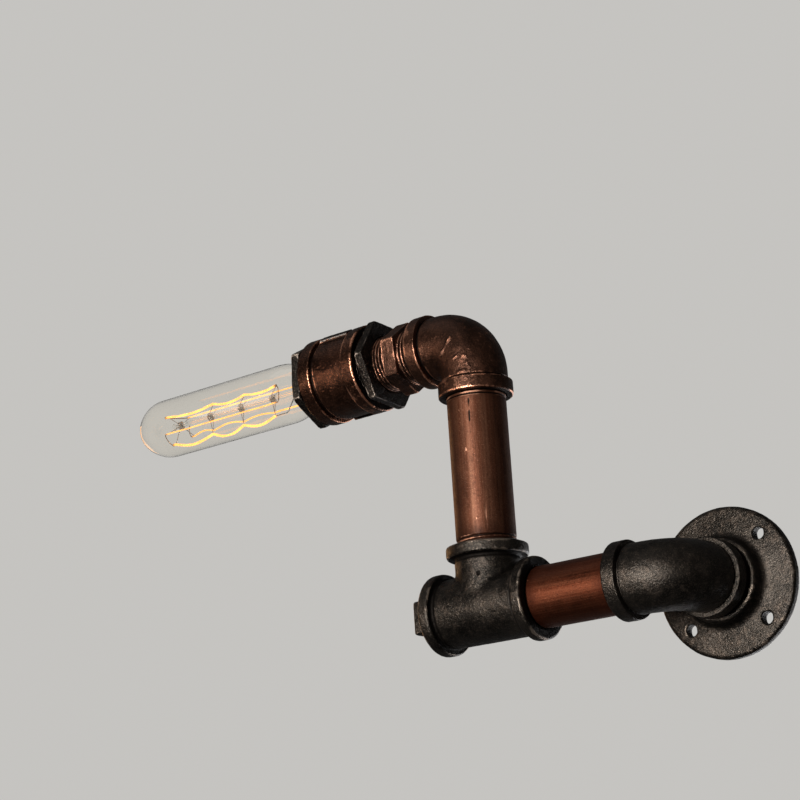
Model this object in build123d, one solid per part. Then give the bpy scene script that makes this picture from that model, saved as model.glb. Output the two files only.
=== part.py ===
from build123d import *
import math
import os

os.makedirs("parts", exist_ok=True)

# ---------------------------------------------------------------------------
# Industrial wall light made of screwed pipe fittings.
# Frame: origin at the centre of the wall flange's back face, +X to the right
# along the wall, +Y into the wall, +Z up.  The lamp points towards -X.
# All lengths are in millimetres.
# ---------------------------------------------------------------------------

# overall layout
RUN = 118.0            # wall elbow axis to riser axis, along X
PROJ = 55.0            # pipe plane in front of the wall
RISE = 154.35          # run axis to head axis, along Z

# one-inch pipe and its thread
PIPE_R = 16.85
PIPE_BORE_R = 13.6
THREAD_R = 16.5        # engaged thread, drawn plain at its mean radius
SOCKET_R = 16.55       # mating socket, 0.05 running clearance
THREAD_PITCH = 2.309
ENGAGE = 13.6          # length of thread inside a fitting

# elbows
ELBOW_END = 34.2       # centre to end
ELBOW_BEND = 20.6      # bend radius of the axis
ELBOW_BODY_R = 18.9
ELBOW_COLLAR_R = 21.3
ELBOW_COLLAR_W = 8.0
WATERWAY_R = 14.3

# tee
TEE_END = 34.0
TEE_BODY_R = 19.4
TEE_COLLAR_R = 22.97
TEE_COLLAR_W = 7.2

# stations along the head axis, measured from the head elbow's centre
NIPPLE_HEX = (42.4, 51.4)
NIPPLE_HEX_R = 21.34       # across corners / 2
NIPPLE_HEX_TURN = -0.13
NIPPLE_BORE_R = 12.0
REAR_HEX = (59.9, 65.2)
REAR_HEX_R = 27.4
REAR_HEX_TURN = -0.46
REAR_THREAD_END = 82.0
COUPLING = (68.6, 110.1)
COUPLING_BAND_R = 26.2
COUPLING_BODY_R = 24.7
COUPLING_REAR_BAND_W = 8.2
COUPLING_FRONT_BAND_W = 8.7
COUPLING_BORE_R = 21.0
COUPLING_RIB_R = 26.5
COUPLING_RIB_W = 7.4
COUPLING_RIB_ANGLES = (55.0, -125.0)
FRONT_HEX = (110.15, 115.8)
FRONT_HEX_R = 27.7
FRONT_HEX_TURN = 0.01
FRONT_THREAD_END = 95.8
FRONT_BORE_R = 15.9
BUSH_THREAD_R = 20.95

# wall flange
FLANGE_R = 41.0
FLANGE_T = 6.0
FLANGE_HEIGHT = 16.0
FLANGE_HUB_R = 22.6
FLANGE_PCD = 64.0
FLANGE_HOLE_R = 3.3
FLANGE_HOLES = 4
FLANGE_SHOULDER = 5.0
FLANGE_BORE_R = 15.0

# wiring
FLEX_R = 3.5
CORE_R = 1.1
FLEX_BEND = 33.0
FLEX_BEND_WALL = 29.0
SWIVEL_Z = 112.0       # height where the flex turns with the head

# lampholder and lamp, along the head axis
HOLDER_BACK = 75.0
HOLDER_FLOOR = 84.6
HOLDER_FRONT = 107.5
HOLDER_CAVITY_R = 13.8
SHELL_R = 13.35        # inside of the screw shell
TIP_S = 86.8
CAP_THREAD_R = 13.05
CAP_ROOT_R = 12.2
CAP_PITCH = 3.629
CAP_RIM = 113.0
GLASS_R = 18.5
GLASS_T = 0.9
GLASS_END = 260.0
CAGE_R = 12.5
CAGE_DROP = 2.0        # the filament cage hangs below the lamp's axis

# ---------------------------------------------------------------------------
# frames
# ---------------------------------------------------------------------------
HEAD_C = (-RUN, -PROJ, RISE)
TEE_C = (-RUN, -PROJ, 0.0)
WALL_C = (0.0, -PROJ, 0.0)

# local x to the front, local y up, local z along the head axis
HEAD = Plane(origin=HEAD_C, x_dir=(0, -1, 0), z_dir=(-1, 0, 0))
# local x to the right, local y up, local z from the wall to the front
WALL = Plane(origin=(0, 0, 0), x_dir=(1, 0, 0), z_dir=(0, -1, 0))
RISER = Plane(origin=TEE_C, x_dir=(1, 0, 0), z_dir=(0, 0, 1))
RUN_PL = Plane(origin=TEE_C, x_dir=(0, -1, 0), z_dir=(1, 0, 0))
PLUG_PL = Plane(origin=TEE_C, x_dir=(0, -1, 0), z_dir=(-1, 0, 0))


# ---------------------------------------------------------------------------
# helpers
# ---------------------------------------------------------------------------
def rounded_edges(pts, closed=True):
    """Edges through (r, s[, fillet]) points, in the XZ plane, corners rounded."""
    n = len(pts)
    out = []
    for i in range(n):
        p = pts[i]
        f = p[2] if len(p) > 2 else 0.0
        c = (p[0], p[1])
        if f <= 0 or (not closed and i in (0, n - 1)):
            out.append((c, c, None))
            continue
        a = pts[i - 1]
        b = pts[(i + 1) % n]
        va = (a[0] - c[0], a[1] - c[1])
        vb = (b[0] - c[0], b[1] - c[1])
        la, lb = math.hypot(*va), math.hypot(*vb)
        ua, ub = (va[0] / la, va[1] / la), (vb[0] / lb, vb[1] / lb)
        half = math.acos(max(-1.0, min(1.0, ua[0] * ub[0] + ua[1] * ub[1]))) / 2
        t = f / math.tan(half)
        pa = (c[0] + ua[0] * t, c[1] + ua[1] * t)
        pb = (c[0] + ub[0] * t, c[1] + ub[1] * t)
        bis = (ua[0] + ub[0], ua[1] + ub[1])
        bl = math.hypot(*bis)
        d = f / math.sin(half) - f
        pm = (c[0] + bis[0] / bl * d, c[1] + bis[1] / bl * d)
        out.append((pa, pb, pm))
    edges = []
    v3 = lambda q: Vector(q[0], 0, q[1])
    for i in range(n):
        pa, pb, pm = out[i]
        if pm is not None:
            edges.append(Edge.make_three_point_arc(v3(pa), v3(pm), v3(pb)))
        if i == n - 1 and not closed:
            break
        nxt = out[(i + 1) % n][0]
        if math.hypot(pb[0] - nxt[0], pb[1] - nxt[1]) > 1e-6:
            edges.append(Edge.make_line(v3(pb), v3(nxt)))
    return edges


def rev(pts, plane=Plane.XY):
    """Solid of revolution about the plane's z axis from a closed (r, s) profile."""
    face = Face(Wire(rounded_edges(pts)))
    solid = revolve(face, Axis.Z, 360).solid()
    return plane.location * solid


def cyl(r, s0, s1, plane=Plane.XY, at=(0.0, 0.0)):
    body = extrude(Pos(at[0], at[1], s0) * Circle(r), amount=s1 - s0, dir=(0, 0, 1)).solid()
    return plane.location * body


def block(x0, x1, y0, y1, z0, z1, plane=Plane.XY):
    b = Pos((x0 + x1) / 2, (y0 + y1) / 2, (z0 + z1) / 2) * Box(x1 - x0, y1 - y0, z1 - z0)
    return plane.location * b.solid()


def soft_block(x0, x1, y0, y1, z0, z1, along, r, end=None, end_r=0.0):
    """Box with the edges along one axis rounded, and optionally one end face's edges too."""
    b = Box(x1 - x0, y1 - y0, z1 - z0)
    if r > 0:
        b = fillet(b.edges().filter_by(along), r)
    if end is not None:
        b = fillet(b.faces().sort_by(end)[-1].edges(), end_r)
    return (Pos((x0 + x1) / 2, (y0 + y1) / 2, (z0 + z1) / 2) * b).solid()


def hex_prism(circum_r, s0, s1, turn, round_r=0.9, land=0.955):
    """Six-sided prism along z with rounded corners and turned-off end edges."""
    pts = []
    for k in range(6):
        t = math.radians(30 + 60 * k) + turn
        pts.append((circum_r * math.cos(t), circum_r * math.sin(t), s0))
    face = Face(Wire.make_polygon([Vector(*p) for p in pts], close=True))
    body = extrude(face, amount=s1 - s0, dir=(0, 0, 1)).solid()
    body = fillet(body.edges().filter_by(Axis.Z), round_r).solid()
    rl = circum_r * land
    h = (circum_r - rl) * 0.75
    turned = rev([(0, s0), (rl, s0, 0.5), (circum_r + 0.2, s0 + h), (circum_r + 0.2, s1 - h), (rl, s1, 0.5), (0, s1)])
    return (body & turned).solid()


def thread_rings(s0, s1, crest, depth, pitch):
    """(r, s) points for a short run of thread drawn as rings, from s0 to s1."""
    n = max(1, int(abs(s1 - s0) / pitch + 0.25))
    step = (s1 - s0) / n
    pts = []
    for i in range(n):
        a = s0 + i * step
        pts += [(crest - depth, a + 0.10 * step), (crest, a + 0.42 * step),
                (crest, a + 0.58 * step), (crest - depth, a + 0.90 * step)]
    return pts


def tube_path(pts, radii, r):
    """Round cord along straight runs joined by tangent arcs."""
    vs = [Vector(*p) for p in pts]
    edges = []
    start = vs[0]
    length = 0.0
    for i in range(1, len(vs) - 1):
        ua = (vs[i - 1] - vs[i]).normalized()
        ub = (vs[i + 1] - vs[i]).normalized()
        half = math.radians(ua.get_angle(ub)) / 2
        t = radii[i - 1] / math.tan(half)
        pa, pb = vs[i] + ua * t, vs[i] + ub * t
        mid = vs[i] + (ua + ub).normalized() * (radii[i - 1] / math.sin(half) - radii[i - 1])
        if (pa - start).length > 1e-6:
            edges.append(Edge.make_line(start, pa))
            length += (pa - start).length
        edges.append(Edge.make_three_point_arc(pa, mid, pb))
        length += radii[i - 1] * (math.pi - 2 * half)
        start = pb
    edges.append(Edge.make_line(start, vs[-1]))
    length += (vs[-1] - start).length
    path = Wire(edges)
    prof = Plane(origin=vs[0], z_dir=(vs[1] - vs[0])) * Circle(r)
    body = sweep(prof, path=path).solid()
    print("  tube r %.2f  length %.1f  volume ratio %.4f  radii %s"
          % (r, length, body.volume / (math.pi * r * r * length), radii))
    return body


def h3(f, u, s):
    """Point in the row frame from front, up and distance along the head axis."""
    return (HEAD_C[0] - s, HEAD_C[1] - f, HEAD_C[2] + u)


def w3(x, u, s):
    """Point in the row frame from right, up and distance out of the wall."""
    return (x, -s, u)


NODES = {}


def keep(name, shape):
    NODES[name] = shape


# ---------------------------------------------------------------------------
# elbow: one leg along local +Z, the other along local +X
# ---------------------------------------------------------------------------
def elbow(plane, socket_depth):
    a, ce = ELBOW_BEND, ELBOW_END
    c0 = ce - ELBOW_COLLAR_W
    leg = [(0, a), (ELBOW_BODY_R, a), (ELBOW_BODY_R, c0, 0.9),
           (ELBOW_COLLAR_R, c0 + 0.7, 1.7), (ELBOW_COLLAR_R, ce, 1.5), (0, ce)]
    bore = [(0, ce - socket_depth), (SOCKET_R, ce - socket_depth), (SOCKET_R, ce - 0.9),
            (SOCKET_R + 1.0, ce + 0.1), (0, ce + 0.1)]
    side = Plane(origin=(0, 0, 0), x_dir=(0, 1, 0), z_dir=(1, 0, 0))
    axis = Axis((a, 0, a), (0, -1, 0))
    bend_out = revolve(Pos(0, 0, a) * Circle(ELBOW_BODY_R), axis, 90).solid()
    bend_in = revolve(Pos(0, 0, a) * Circle(WATERWAY_R), axis, 90).solid()
    body = bend_out + rev(leg) + rev(leg, side)
    body = body - bend_in - rev(bore) - rev(bore, side)
    return plane.location * body.solid()


# ---------------------------------------------------------------------------
# wall side: flange, close nipple, elbow, run pipe
# ---------------------------------------------------------------------------
flange = rev([(FLANGE_BORE_R, 0, 0.4), (FLANGE_R, 0, 0.8), (FLANGE_R, FLANGE_T, 2.2),
              (FLANGE_HUB_R + 1.2, FLANGE_T + 1.4, 3.5), (FLANGE_HUB_R, FLANGE_HEIGHT, 1.8),
              (SOCKET_R + 0.9, FLANGE_HEIGHT), (SOCKET_R, FLANGE_HEIGHT - 0.9),
              (SOCKET_R, FLANGE_SHOULDER), (FLANGE_BORE_R, FLANGE_SHOULDER)])
for k in range(FLANGE_HOLES):
    t = math.radians(45 + 360 / FLANGE_HOLES * k)
    flange = flange - cyl(FLANGE_HOLE_R, -1, FLANGE_T + 6, at=(FLANGE_PCD / 2 * math.cos(t), FLANGE_PCD / 2 * math.sin(t)))
# pocket for the earth terminal, sunk in the back face and open to the bore
EARTH_U = -19.8
pocket = block(-5.5, 5.5, EARTH_U, -12.0, -1, 4.2) + cyl(5.5, -1, 4.2, at=(0, EARTH_U))
flange = flange - pocket - cyl(1.62, 4.0, 12.5, at=(0, EARTH_U))
keep("wall_flange", WALL.location * flange.solid())

nip0 = FLANGE_SHOULDER
nip1 = PROJ - ELBOW_END + ENGAGE
keep("wall_nipple", rev([(PIPE_BORE_R, nip0, 0.5), (THREAD_R, nip0, 0.8), (THREAD_R, FLANGE_HEIGHT + 0.05),
                         (PIPE_R - 0.1, FLANGE_HEIGHT + 0.35), (PIPE_R, FLANGE_HEIGHT + 0.9),
                         (PIPE_R, PROJ - ELBOW_END - 0.9), (PIPE_R - 0.1, PROJ - ELBOW_END - 0.35),
                         (THREAD_R, PROJ - ELBOW_END - 0.05), (THREAD_R, nip1, 0.8), (PIPE_BORE_R, nip1, 0.5)], WALL))

keep("wall_elbow", elbow(Plane(origin=WALL_C, x_dir=(-1, 0, 0), z_dir=(0, 1, 0)), ENGAGE))

run0, run1 = TEE_END - ENGAGE, RUN - ELBOW_END + ENGAGE
keep("run_pipe", rev([(PIPE_BORE_R, run0, 0.5), (THREAD_R, run0, 0.8), (THREAD_R, TEE_END + 0.1),
                      (PIPE_R, TEE_END + 0.8), (PIPE_R, RUN - ELBOW_END - 0.8),
                      (THREAD_R, RUN - ELBOW_END - 0.1), (THREAD_R, run1, 0.8), (PIPE_BORE_R, run1, 0.5)], RUN_PL))

# ---------------------------------------------------------------------------
# tee: run along X, branch up, left outlet closed with a square-headed plug
# ---------------------------------------------------------------------------
tc0 = TEE_END - TEE_COLLAR_W
tee_leg = [(0, 0), (TEE_BODY_R, 0), (TEE_BODY_R, tc0, 1.1), (TEE_COLLAR_R, tc0 + 0.8, 1.5),
           (TEE_COLLAR_R, TEE_END, 1.2), (0, TEE_END)]
tee_bore = [(0, 0), (WATERWAY_R, 0), (WATERWAY_R, TEE_END - ENGAGE), (SOCKET_R, TEE_END - ENGAGE),
            (SOCKET_R, TEE_END - 0.9), (SOCKET_R + 1.0, TEE_END + 0.1), (0, TEE_END + 0.1)]
right_side = Plane(origin=(0, 0, 0), x_dir=(0, -1, 0), z_dir=(1, 0, 0))
left_side = Plane(origin=(0, 0, 0), x_dir=(0, -1, 0), z_dir=(-1, 0, 0))
run_body = cyl(TEE_BODY_R, -tc0 + 1.5, tc0 - 1.5, right_side)
branch = cyl(TEE_BODY_R - 0.9, 0, tc0 - 1.5)
core = (run_body + branch).solid()
branch_leg = [(0, 15.0), (TEE_BODY_R - 0.9, 15.0)] + [(TEE_BODY_R - 0.9, tc0, 1.1)] + tee_leg[3:]
tee = core + rev(branch_leg) + rev(tee_leg, right_side) + rev(tee_leg, left_side)
tee = tee - rev(tee_bore) - rev(tee_bore, right_side) - rev(tee_bore, left_side)
keep("tee", Pos(*TEE_C) * tee.solid())

plug = rev([(0, TEE_END - ENGAGE + 10), (10.5, TEE_END - ENGAGE + 10, 2.0), (11.5, TEE_END - ENGAGE),
            (THREAD_R, TEE_END - ENGAGE, 0.8), (THREAD_R, TEE_END + 1.6, 0.7), (0, TEE_END + 1.6)])
head_sq = soft_block(-9.5, 9.5, -9.5, 9.5, TEE_END + 1.0, TEE_END + 13.0, Axis.Z, 1.6, Axis.Z, 1.0)
keep("tee_plug", PLUG_PL.location * (plug + head_sq).solid())

# ---------------------------------------------------------------------------
# riser pipe, a few turns of thread showing above the tee
# ---------------------------------------------------------------------------
ris0 = TEE_END - ENGAGE
ris1 = RISE - ELBOW_END + ENGAGE - 0.3
keep("riser_pipe", rev([(PIPE_BORE_R, ris0, 0.5), (THREAD_R, ris0, 0.8), (THREAD_R, TEE_END + 0.1)]
                       + thread_rings(TEE_END + 0.1, TEE_END + 3.6, PIPE_R - 0.25, 0.55, 1.75)
                       + [(PIPE_R, TEE_END + 4.4), (PIPE_R, RISE - ELBOW_END - 1.3),
                          (THREAD_R, RISE - ELBOW_END - 0.6), (THREAD_R, ris1, 0.8), (PIPE_BORE_R, ris1, 0.5)], RISER))

# ---------------------------------------------------------------------------
# head: elbow, hexagon nipple, two reducing bushes and the ribbed socket
# ---------------------------------------------------------------------------
keep("head_elbow", elbow(Plane(origin=HEAD_C, x_dir=(-1, 0, 0), z_dir=(0, 0, -1)), ENGAGE))

n0 = ELBOW_END - ENGAGE
n1 = REAR_HEX[0] + ENGAGE
n_crest = 16.62
hexn = rev([(NIPPLE_BORE_R, n0, 0.6), (THREAD_R, n0, 0.9), (THREAD_R, ELBOW_END + 0.1)]
           + thread_rings(ELBOW_END + 0.1, NIPPLE_HEX[0] - 0.5, n_crest, 1.15, THREAD_PITCH)
           + [(n_crest - 1.1, NIPPLE_HEX[0] + 1.0), (n_crest - 1.1, NIPPLE_HEX[1] - 1.0)]
           + thread_rings(NIPPLE_HEX[1] + 0.5, REAR_HEX[0] - 0.1, n_crest, 1.15, THREAD_PITCH)
           + [(THREAD_R, REAR_HEX[0] - 0.05), (THREAD_R, n1, 0.9), (NIPPLE_BORE_R, n1, 0.6)])
hexn = hexn + (hex_prism(NIPPLE_HEX_R, NIPPLE_HEX[0], NIPPLE_HEX[1], NIPPLE_HEX_TURN)
               - cyl(NIPPLE_BORE_R + 1.0, NIPPLE_HEX[0] - 1, NIPPLE_HEX[1] + 1))
keep("hex_nipple", HEAD.location * hexn.solid())

bush_root = BUSH_THREAD_R - 1.2
rear = hex_prism(REAR_HEX_R, REAR_HEX[0], REAR_HEX[1], REAR_HEX_TURN) + \
    rev([(0, REAR_HEX[1] - 1), (bush_root, REAR_HEX[1] - 1), (bush_root, REAR_HEX[1] + 0.2)]
        + thread_rings(REAR_HEX[1] + 0.2, COUPLING[0] - 0.1, BUSH_THREAD_R, 1.2, 1.6)
        + [(BUSH_THREAD_R, COUPLING[0]), (BUSH_THREAD_R, REAR_THREAD_END, 0.8), (0, REAR_THREAD_END)])
rear = rear - rev([(0, REAR_HEX[0] - 0.1), (SOCKET_R + 1.0, REAR_HEX[0] - 0.1), (SOCKET_R, REAR_HEX[0] + 0.9),
                   (SOCKET_R, n1), (14.6, n1), (14.6, REAR_THREAD_END + 0.1), (0, REAR_THREAD_END + 0.1)])
keep("rear_bushing", HEAD.location * rear.solid())

c0, c1 = COUPLING
cr, cf = c0 + COUPLING_REAR_BAND_W, c1 - COUPLING_FRONT_BAND_W
coupling = rev([(COUPLING_BORE_R + 0.9, c0), (COUPLING_BAND_R, c0, 1.3), (COUPLING_BAND_R, cr, 1.4),
                (COUPLING_BODY_R, cr + 0.6, 1.0), (COUPLING_BODY_R, cf - 2.2, 0.5), (COUPLING_BODY_R - 1.0, cf - 1.9, 0.25),
                (COUPLING_BODY_R - 1.0, cf - 0.3, 0.25), (COUPLING_BAND_R, cf, 0.8), (COUPLING_BAND_R, c1, 1.3), (COUPLING_BORE_R + 0.9, c1),
                (COUPLING_BORE_R, c1 - 0.9), (COUPLING_BORE_R, c0 + 0.9)])
for ang in COUPLING_RIB_ANGLES:
    rib = soft_block(COUPLING_BODY_R - 2.5, COUPLING_RIB_R, -COUPLING_RIB_W / 2, COUPLING_RIB_W / 2, cr - 1.0, cf - 2.6,
                     Axis.X, 0.0, Axis.X, 1.1)
    coupling = coupling + Rot(0, 0, ang) * rib
keep("coupling", HEAD.location * coupling.solid())

front = hex_prism(FRONT_HEX_R, FRONT_HEX[0], FRONT_HEX[1], FRONT_HEX_TURN) + \
    rev([(0, FRONT_THREAD_END), (BUSH_THREAD_R, FRONT_THREAD_END, 0.8), (BUSH_THREAD_R, FRONT_HEX[0] + 0.5), (0, FRONT_HEX[0] + 0.5)])
front = front - rev([(0, FRONT_THREAD_END - 0.1), (FRONT_BORE_R, FRONT_THREAD_END - 0.1), (FRONT_BORE_R, FRONT_HEX[1] - 1.2),
                     (FRONT_BORE_R + 1.3, FRONT_HEX[1] + 0.1), (0, FRONT_HEX[1] + 0.1)])
keep("front_bushing", HEAD.location * front.solid())

# ---------------------------------------------------------------------------
# lampholder: porcelain body gripped between the two bushes
# ---------------------------------------------------------------------------
POST_F = 8.0
holder = rev([(0, HOLDER_BACK), (13.9, HOLDER_BACK, 0.8), (13.9, REAR_THREAD_END), (20.4, REAR_THREAD_END, 0.6),
              (20.4, FRONT_THREAD_END, 0.6), (15.6, FRONT_THREAD_END), (15.4, HOLDER_FRONT, 0.6),
              (HOLDER_CAVITY_R, HOLDER_FRONT, 0.4), (HOLDER_CAVITY_R, HOLDER_FLOOR), (0, HOLDER_FLOOR)])
for f in (POST_F, -POST_F):
    holder = holder - cyl(2.5, HOLDER_BACK - 1, HOLDER_FLOOR + 1, at=(f, 0))
keep("lampholder_body", HEAD.location * holder.solid())

keep("lampholder_shell", rev([(SHELL_R, 88.0), (SHELL_R + 0.4, 88.0), (SHELL_R + 0.4, HOLDER_FRONT - 0.8),
                              (SHELL_R, HOLDER_FRONT - 0.8)], HEAD))

posts = [cyl(2.4, HOLDER_BACK + 1.0, HOLDER_FLOOR, at=(f, 0)) - cyl(1.25, HOLDER_FLOOR - 6.0, HOLDER_FLOOR + 1, at=(f, 0))
         for f in (POST_F, -POST_F)]
keep("lampholder_posts", Compound([HEAD.location * p.solid() for p in posts]))


def strip(pts, thick, half_u):
    """Sheet-metal strip: (front, s) centre-line offset by its thickness, extruded across."""
    up = [Vector(p[0], 0, p[1]) for p in pts]
    low = []
    for i, p in enumerate(pts):
        a = pts[max(0, i - 1)]
        b = pts[min(len(pts) - 1, i + 1)]
        dx, dz = b[0] - a[0], b[1] - a[1]
        ln = math.hypot(dx, dz)
        low.append(Vector(p[0] - dz / ln * thick, 0, p[1] + dx / ln * thick))
    face = Face(Wire.make_polygon(up + low[::-1], close=True))
    return extrude(face, amount=half_u, dir=(0, 1, 0), both=True).solid()


contact = strip([(-4.6, 86.15), (-1.8, 86.15), (1.8, 85.75), (4.0, HOLDER_FLOOR), (10.8, HOLDER_FLOOR)], 0.5, 2.4)
contact = contact - cyl(1.3, HOLDER_FLOOR - 1, HOLDER_FLOOR + 2, at=(POST_F, 0))
keep("lampholder_contact", HEAD.location * contact.solid())

strap = block(-13.4, -5.2, -1.5, 1.5, HOLDER_FLOOR, HOLDER_FLOOR + 0.5) + block(-13.4, -12.9, -1.5, 1.5, HOLDER_FLOOR, 88.0)
strap = strap - cyl(1.3, HOLDER_FLOOR - 1, HOLDER_FLOOR + 2, at=(-POST_F, 0))
keep("lampholder_shell_strap", HEAD.location * strap.solid())

screws = []
for f in (POST_F, -POST_F):
    s0 = HOLDER_FLOOR + 0.5
    sc = rev([(0, s0 - 5.0), (1.2, s0 - 5.0, 0.3), (1.2, s0), (2.2, s0), (2.2, s0 + 1.4, 0.7), (0, s0 + 1.4)])
    sc = Pos(f, 0, 0) * sc - block(f - 3, f + 3, -0.3, 0.3, s0 + 0.8, s0 + 2)
    screws.append(HEAD.location * sc.solid())
keep("lampholder_screws", Compound(screws))

# ---------------------------------------------------------------------------
# wiring inside the pipework, and the terminals at the wall
# ---------------------------------------------------------------------------
FLEX_WALL_END = 25.5
keep("supply_flex_lower", tube_path([w3(0, 0, FLEX_WALL_END), WALL_C, TEE_C, (TEE_C[0], TEE_C[1], SWIVEL_Z)],
                                    [FLEX_BEND_WALL, FLEX_BEND], FLEX_R))
FLEX_HEAD_END = 60.0
keep("supply_flex_upper", tube_path([(TEE_C[0], TEE_C[1], SWIVEL_Z), HEAD_C, h3(0, 0, FLEX_HEAD_END)], [FLEX_BEND], FLEX_R))

for name, sign in (("holder_live_lead", 1), ("holder_neutral_lead", -1)):
    keep(name, tube_path([h3(sign * 1.5, 0, FLEX_HEAD_END), h3(sign * 1.5, 0, 64.5), h3(sign * POST_F, 0, 72.4),
                          h3(sign * POST_F, 0, HOLDER_BACK + 1.0)], [2.2, 2.2], CORE_R))

TB = (3.2, 15.2)          # terminal block, along the wall axis
tb_body = soft_block(-7.5, 7.5, -4.2, 3.4, TB[0], TB[1], Axis.Z, 1.0)
tb_screws, tb_tubes = [], []
for x in (-3.6, 3.6):
    tower = soft_block(x - 2.9, x + 2.9, 2.0, 6.6, TB[0] + 0.4, TB[1] - 0.4, Axis.Y, 1.2)
    tb_body = tb_body + tower
for x in (-3.6, 3.6):
    tb_body = tb_body - cyl(2.3, TB[0] - 1, TB[1] + 1, at=(x, 0))
    tube = cyl(2.25, TB[0] + 0.6, TB[1] - 0.6, at=(x, 0)) - cyl(1.4, TB[0], TB[1], at=(x, 0))
    for s in (TB[0] + 3.2, TB[1] - 3.2):
        up = Plane(origin=(x, 0, s), x_dir=(1, 0, 0), z_dir=(0, 1, 0))
        tb_body = tb_body - cyl(1.75, 0, 9, up)
        tube = tube - cyl(1.2, 0, 4, up)
        sc = rev([(0, 1.75), (1.15, 1.75, 0.3), (1.15, 2.6), (1.65, 3.0), (1.65, 5.2, 0.3), (0, 5.2)], up)
        sc = sc - (up.location * block(-2, 2, -0.3, 0.3, 4.4, 6))
        tb_screws.append(WALL.location * sc.solid())
    tb_tubes.append(WALL.location * tube.solid())
keep("terminal_block", WALL.location * tb_body.solid())
keep("terminal_tubes", Compound(tb_tubes))
keep("terminal_screws", Compound(tb_screws))

for name, x in (("supply_live_lead", -1), ("supply_neutral_lead", 1)):
    keep(name, tube_path([w3(x * 1.5, 0.6, FLEX_WALL_END), w3(x * 1.5, 0.6, 22.4), w3(x * 3.6, 0, 18.4), w3(x * 3.6, 0, 9.6)],
                         [2.2, 2.2], CORE_R))

tag = cyl(3.9, 3.4, 4.2, at=(0, EARTH_U)) + block(-2.0, 2.0, EARTH_U + 2, -12.6, 3.4, 4.2)
tag = tag - cyl(2.1, 3, 5, at=(0, EARTH_U))
barrel = Plane(origin=(0, -13.0, 3.0), x_dir=(1, 0, 0), z_dir=(0, 1, 0))
tag = tag + rev([(0, 0), (1.7, 0, 0.3), (1.7, 3.2, 0.3), (0, 3.2)], barrel)
keep("earth_tag", WALL.location * tag.solid())

es = rev([(0, 10.8), (1.6, 10.8, 0.4), (1.6, 3.4), (3.4, 3.4), (3.4, 1.0, 0.9), (0, 1.0)])
es = Pos(0, EARTH_U, 0) * es - block(-4, 4, EARTH_U - 0.45, EARTH_U + 0.45, 0, 2.0)
keep("earth_screw", WALL.location * es.solid())

keep("earth_lead", tube_path([w3(0, -9.8, 3.0), w3(0, -7.2, 3.0), w3(0, -7.2, 19.0), w3(0, -1.9, 22.6), w3(0, -1.9, FLEX_WALL_END)],
                             [1.8, 3.0, 2.2], CORE_R))

# ---------------------------------------------------------------------------
# lamp: screw cap, insulator, solder tip, long tubular bulb and filament cage
# ---------------------------------------------------------------------------
keep("bulb_tip", rev([(0, TIP_S), (2.2, TIP_S + 0.15), (4.0, TIP_S + 0.8, 0.5), (4.3, TIP_S + 1.5), (0, TIP_S + 1.5)], HEAD))
keep("bulb_insulator", rev([(0, TIP_S + 1.5), (4.7, TIP_S + 1.5, 0.4), (11.0, TIP_S + 5.2, 0.6), (11.4, TIP_S + 6.0), (0, TIP_S + 6.0)], HEAD))

cap0 = TIP_S + 6.0
cap_pts = [(11.7, cap0), (CAP_ROOT_R, cap0 + 0.4)]
turns = 4
for i in range(turns):
    a = cap0 + 0.9 + i * CAP_PITCH
    cap_pts += [(CAP_ROOT_R, a, 0.25), (CAP_THREAD_R - 0.12, a + 0.30 * CAP_PITCH), (CAP_THREAD_R, a + 0.5 * CAP_PITCH),
                (CAP_THREAD_R - 0.12, a + 0.70 * CAP_PITCH)]
cap_pts += [(CAP_ROOT_R, cap0 + 0.9 + turns * CAP_PITCH, 0.25), (CAP_ROOT_R, CAP_RIM - 3.2, 0.3), (CAP_THREAD_R - 0.05, CAP_RIM - 2.2, 0.4),
            (CAP_THREAD_R - 0.05, CAP_RIM), (11.8, CAP_RIM), (11.8, cap0 + 0.6), (0, cap0 + 0.6), (0, cap0)]
keep("bulb_cap", rev(cap_pts, HEAD))

g_neck0 = CAP_RIM - 13.0


def glass_line(t):
    """Outer outline of the bulb (t = 0) or the inner one (t = wall), from neck to end."""
    a = [Vector(11.6 - t, 0, g_neck0), Vector(11.6 - t, 0, CAP_RIM + 0.5)]
    neck = Edge.make_spline([a[1], Vector(13.6 - t, 0, CAP_RIM + 6), Vector(17.0 - t, 0, CAP_RIM + 17), Vector(GLASS_R - t, 0, CAP_RIM + 28)],
                            tangents=[Vector(0, 0, 1), Vector(0, 0, 1)])
    d0 = GLASS_END - 21.0
    body = Edge.make_line(Vector(GLASS_R - t, 0, CAP_RIM + 28), Vector(GLASS_R - t, 0, d0))
    dome = Edge.make_spline([Vector(GLASS_R - t, 0, d0), Vector((GLASS_R - t) * 0.80, 0, d0 + 12.4 - t * 0.4), Vector(0, 0, GLASS_END - t)],
                            tangents=[Vector(0, 0, 1), Vector(-1, 0, 0)])
    return [Edge.make_line(*a), neck, body, dome]


outer, inner = glass_line(0.0), glass_line(GLASS_T)
loop = outer + [Edge.make_line(Vector(0, 0, GLASS_END), Vector(0, 0, GLASS_END - GLASS_T))] + inner \
    + [Edge.make_line(Vector(11.6 - GLASS_T, 0, g_neck0), Vector(11.6, 0, g_neck0))]
keep("bulb_glass", HEAD.location * revolve(Face(Wire(loop)), Axis.Z, 360).solid())

CAGE_S = (132.0, 152.0, 178.0, 204.0, 230.0)   # stem press, then the four wire spiders
keep("bulb_stem", rev([(0, g_neck0 + 0.5), (10.6, g_neck0 + 0.5), (10.6, g_neck0 + 1.6, 0.5), (6.0, g_neck0 + 9.0, 3.0), (4.6, 124.0, 1.5),
                       (1.6, 128.0, 1.0), (1.6, 234.0), (2.3, 235.6, 0.8), (0, 237.4)], HEAD))

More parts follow.
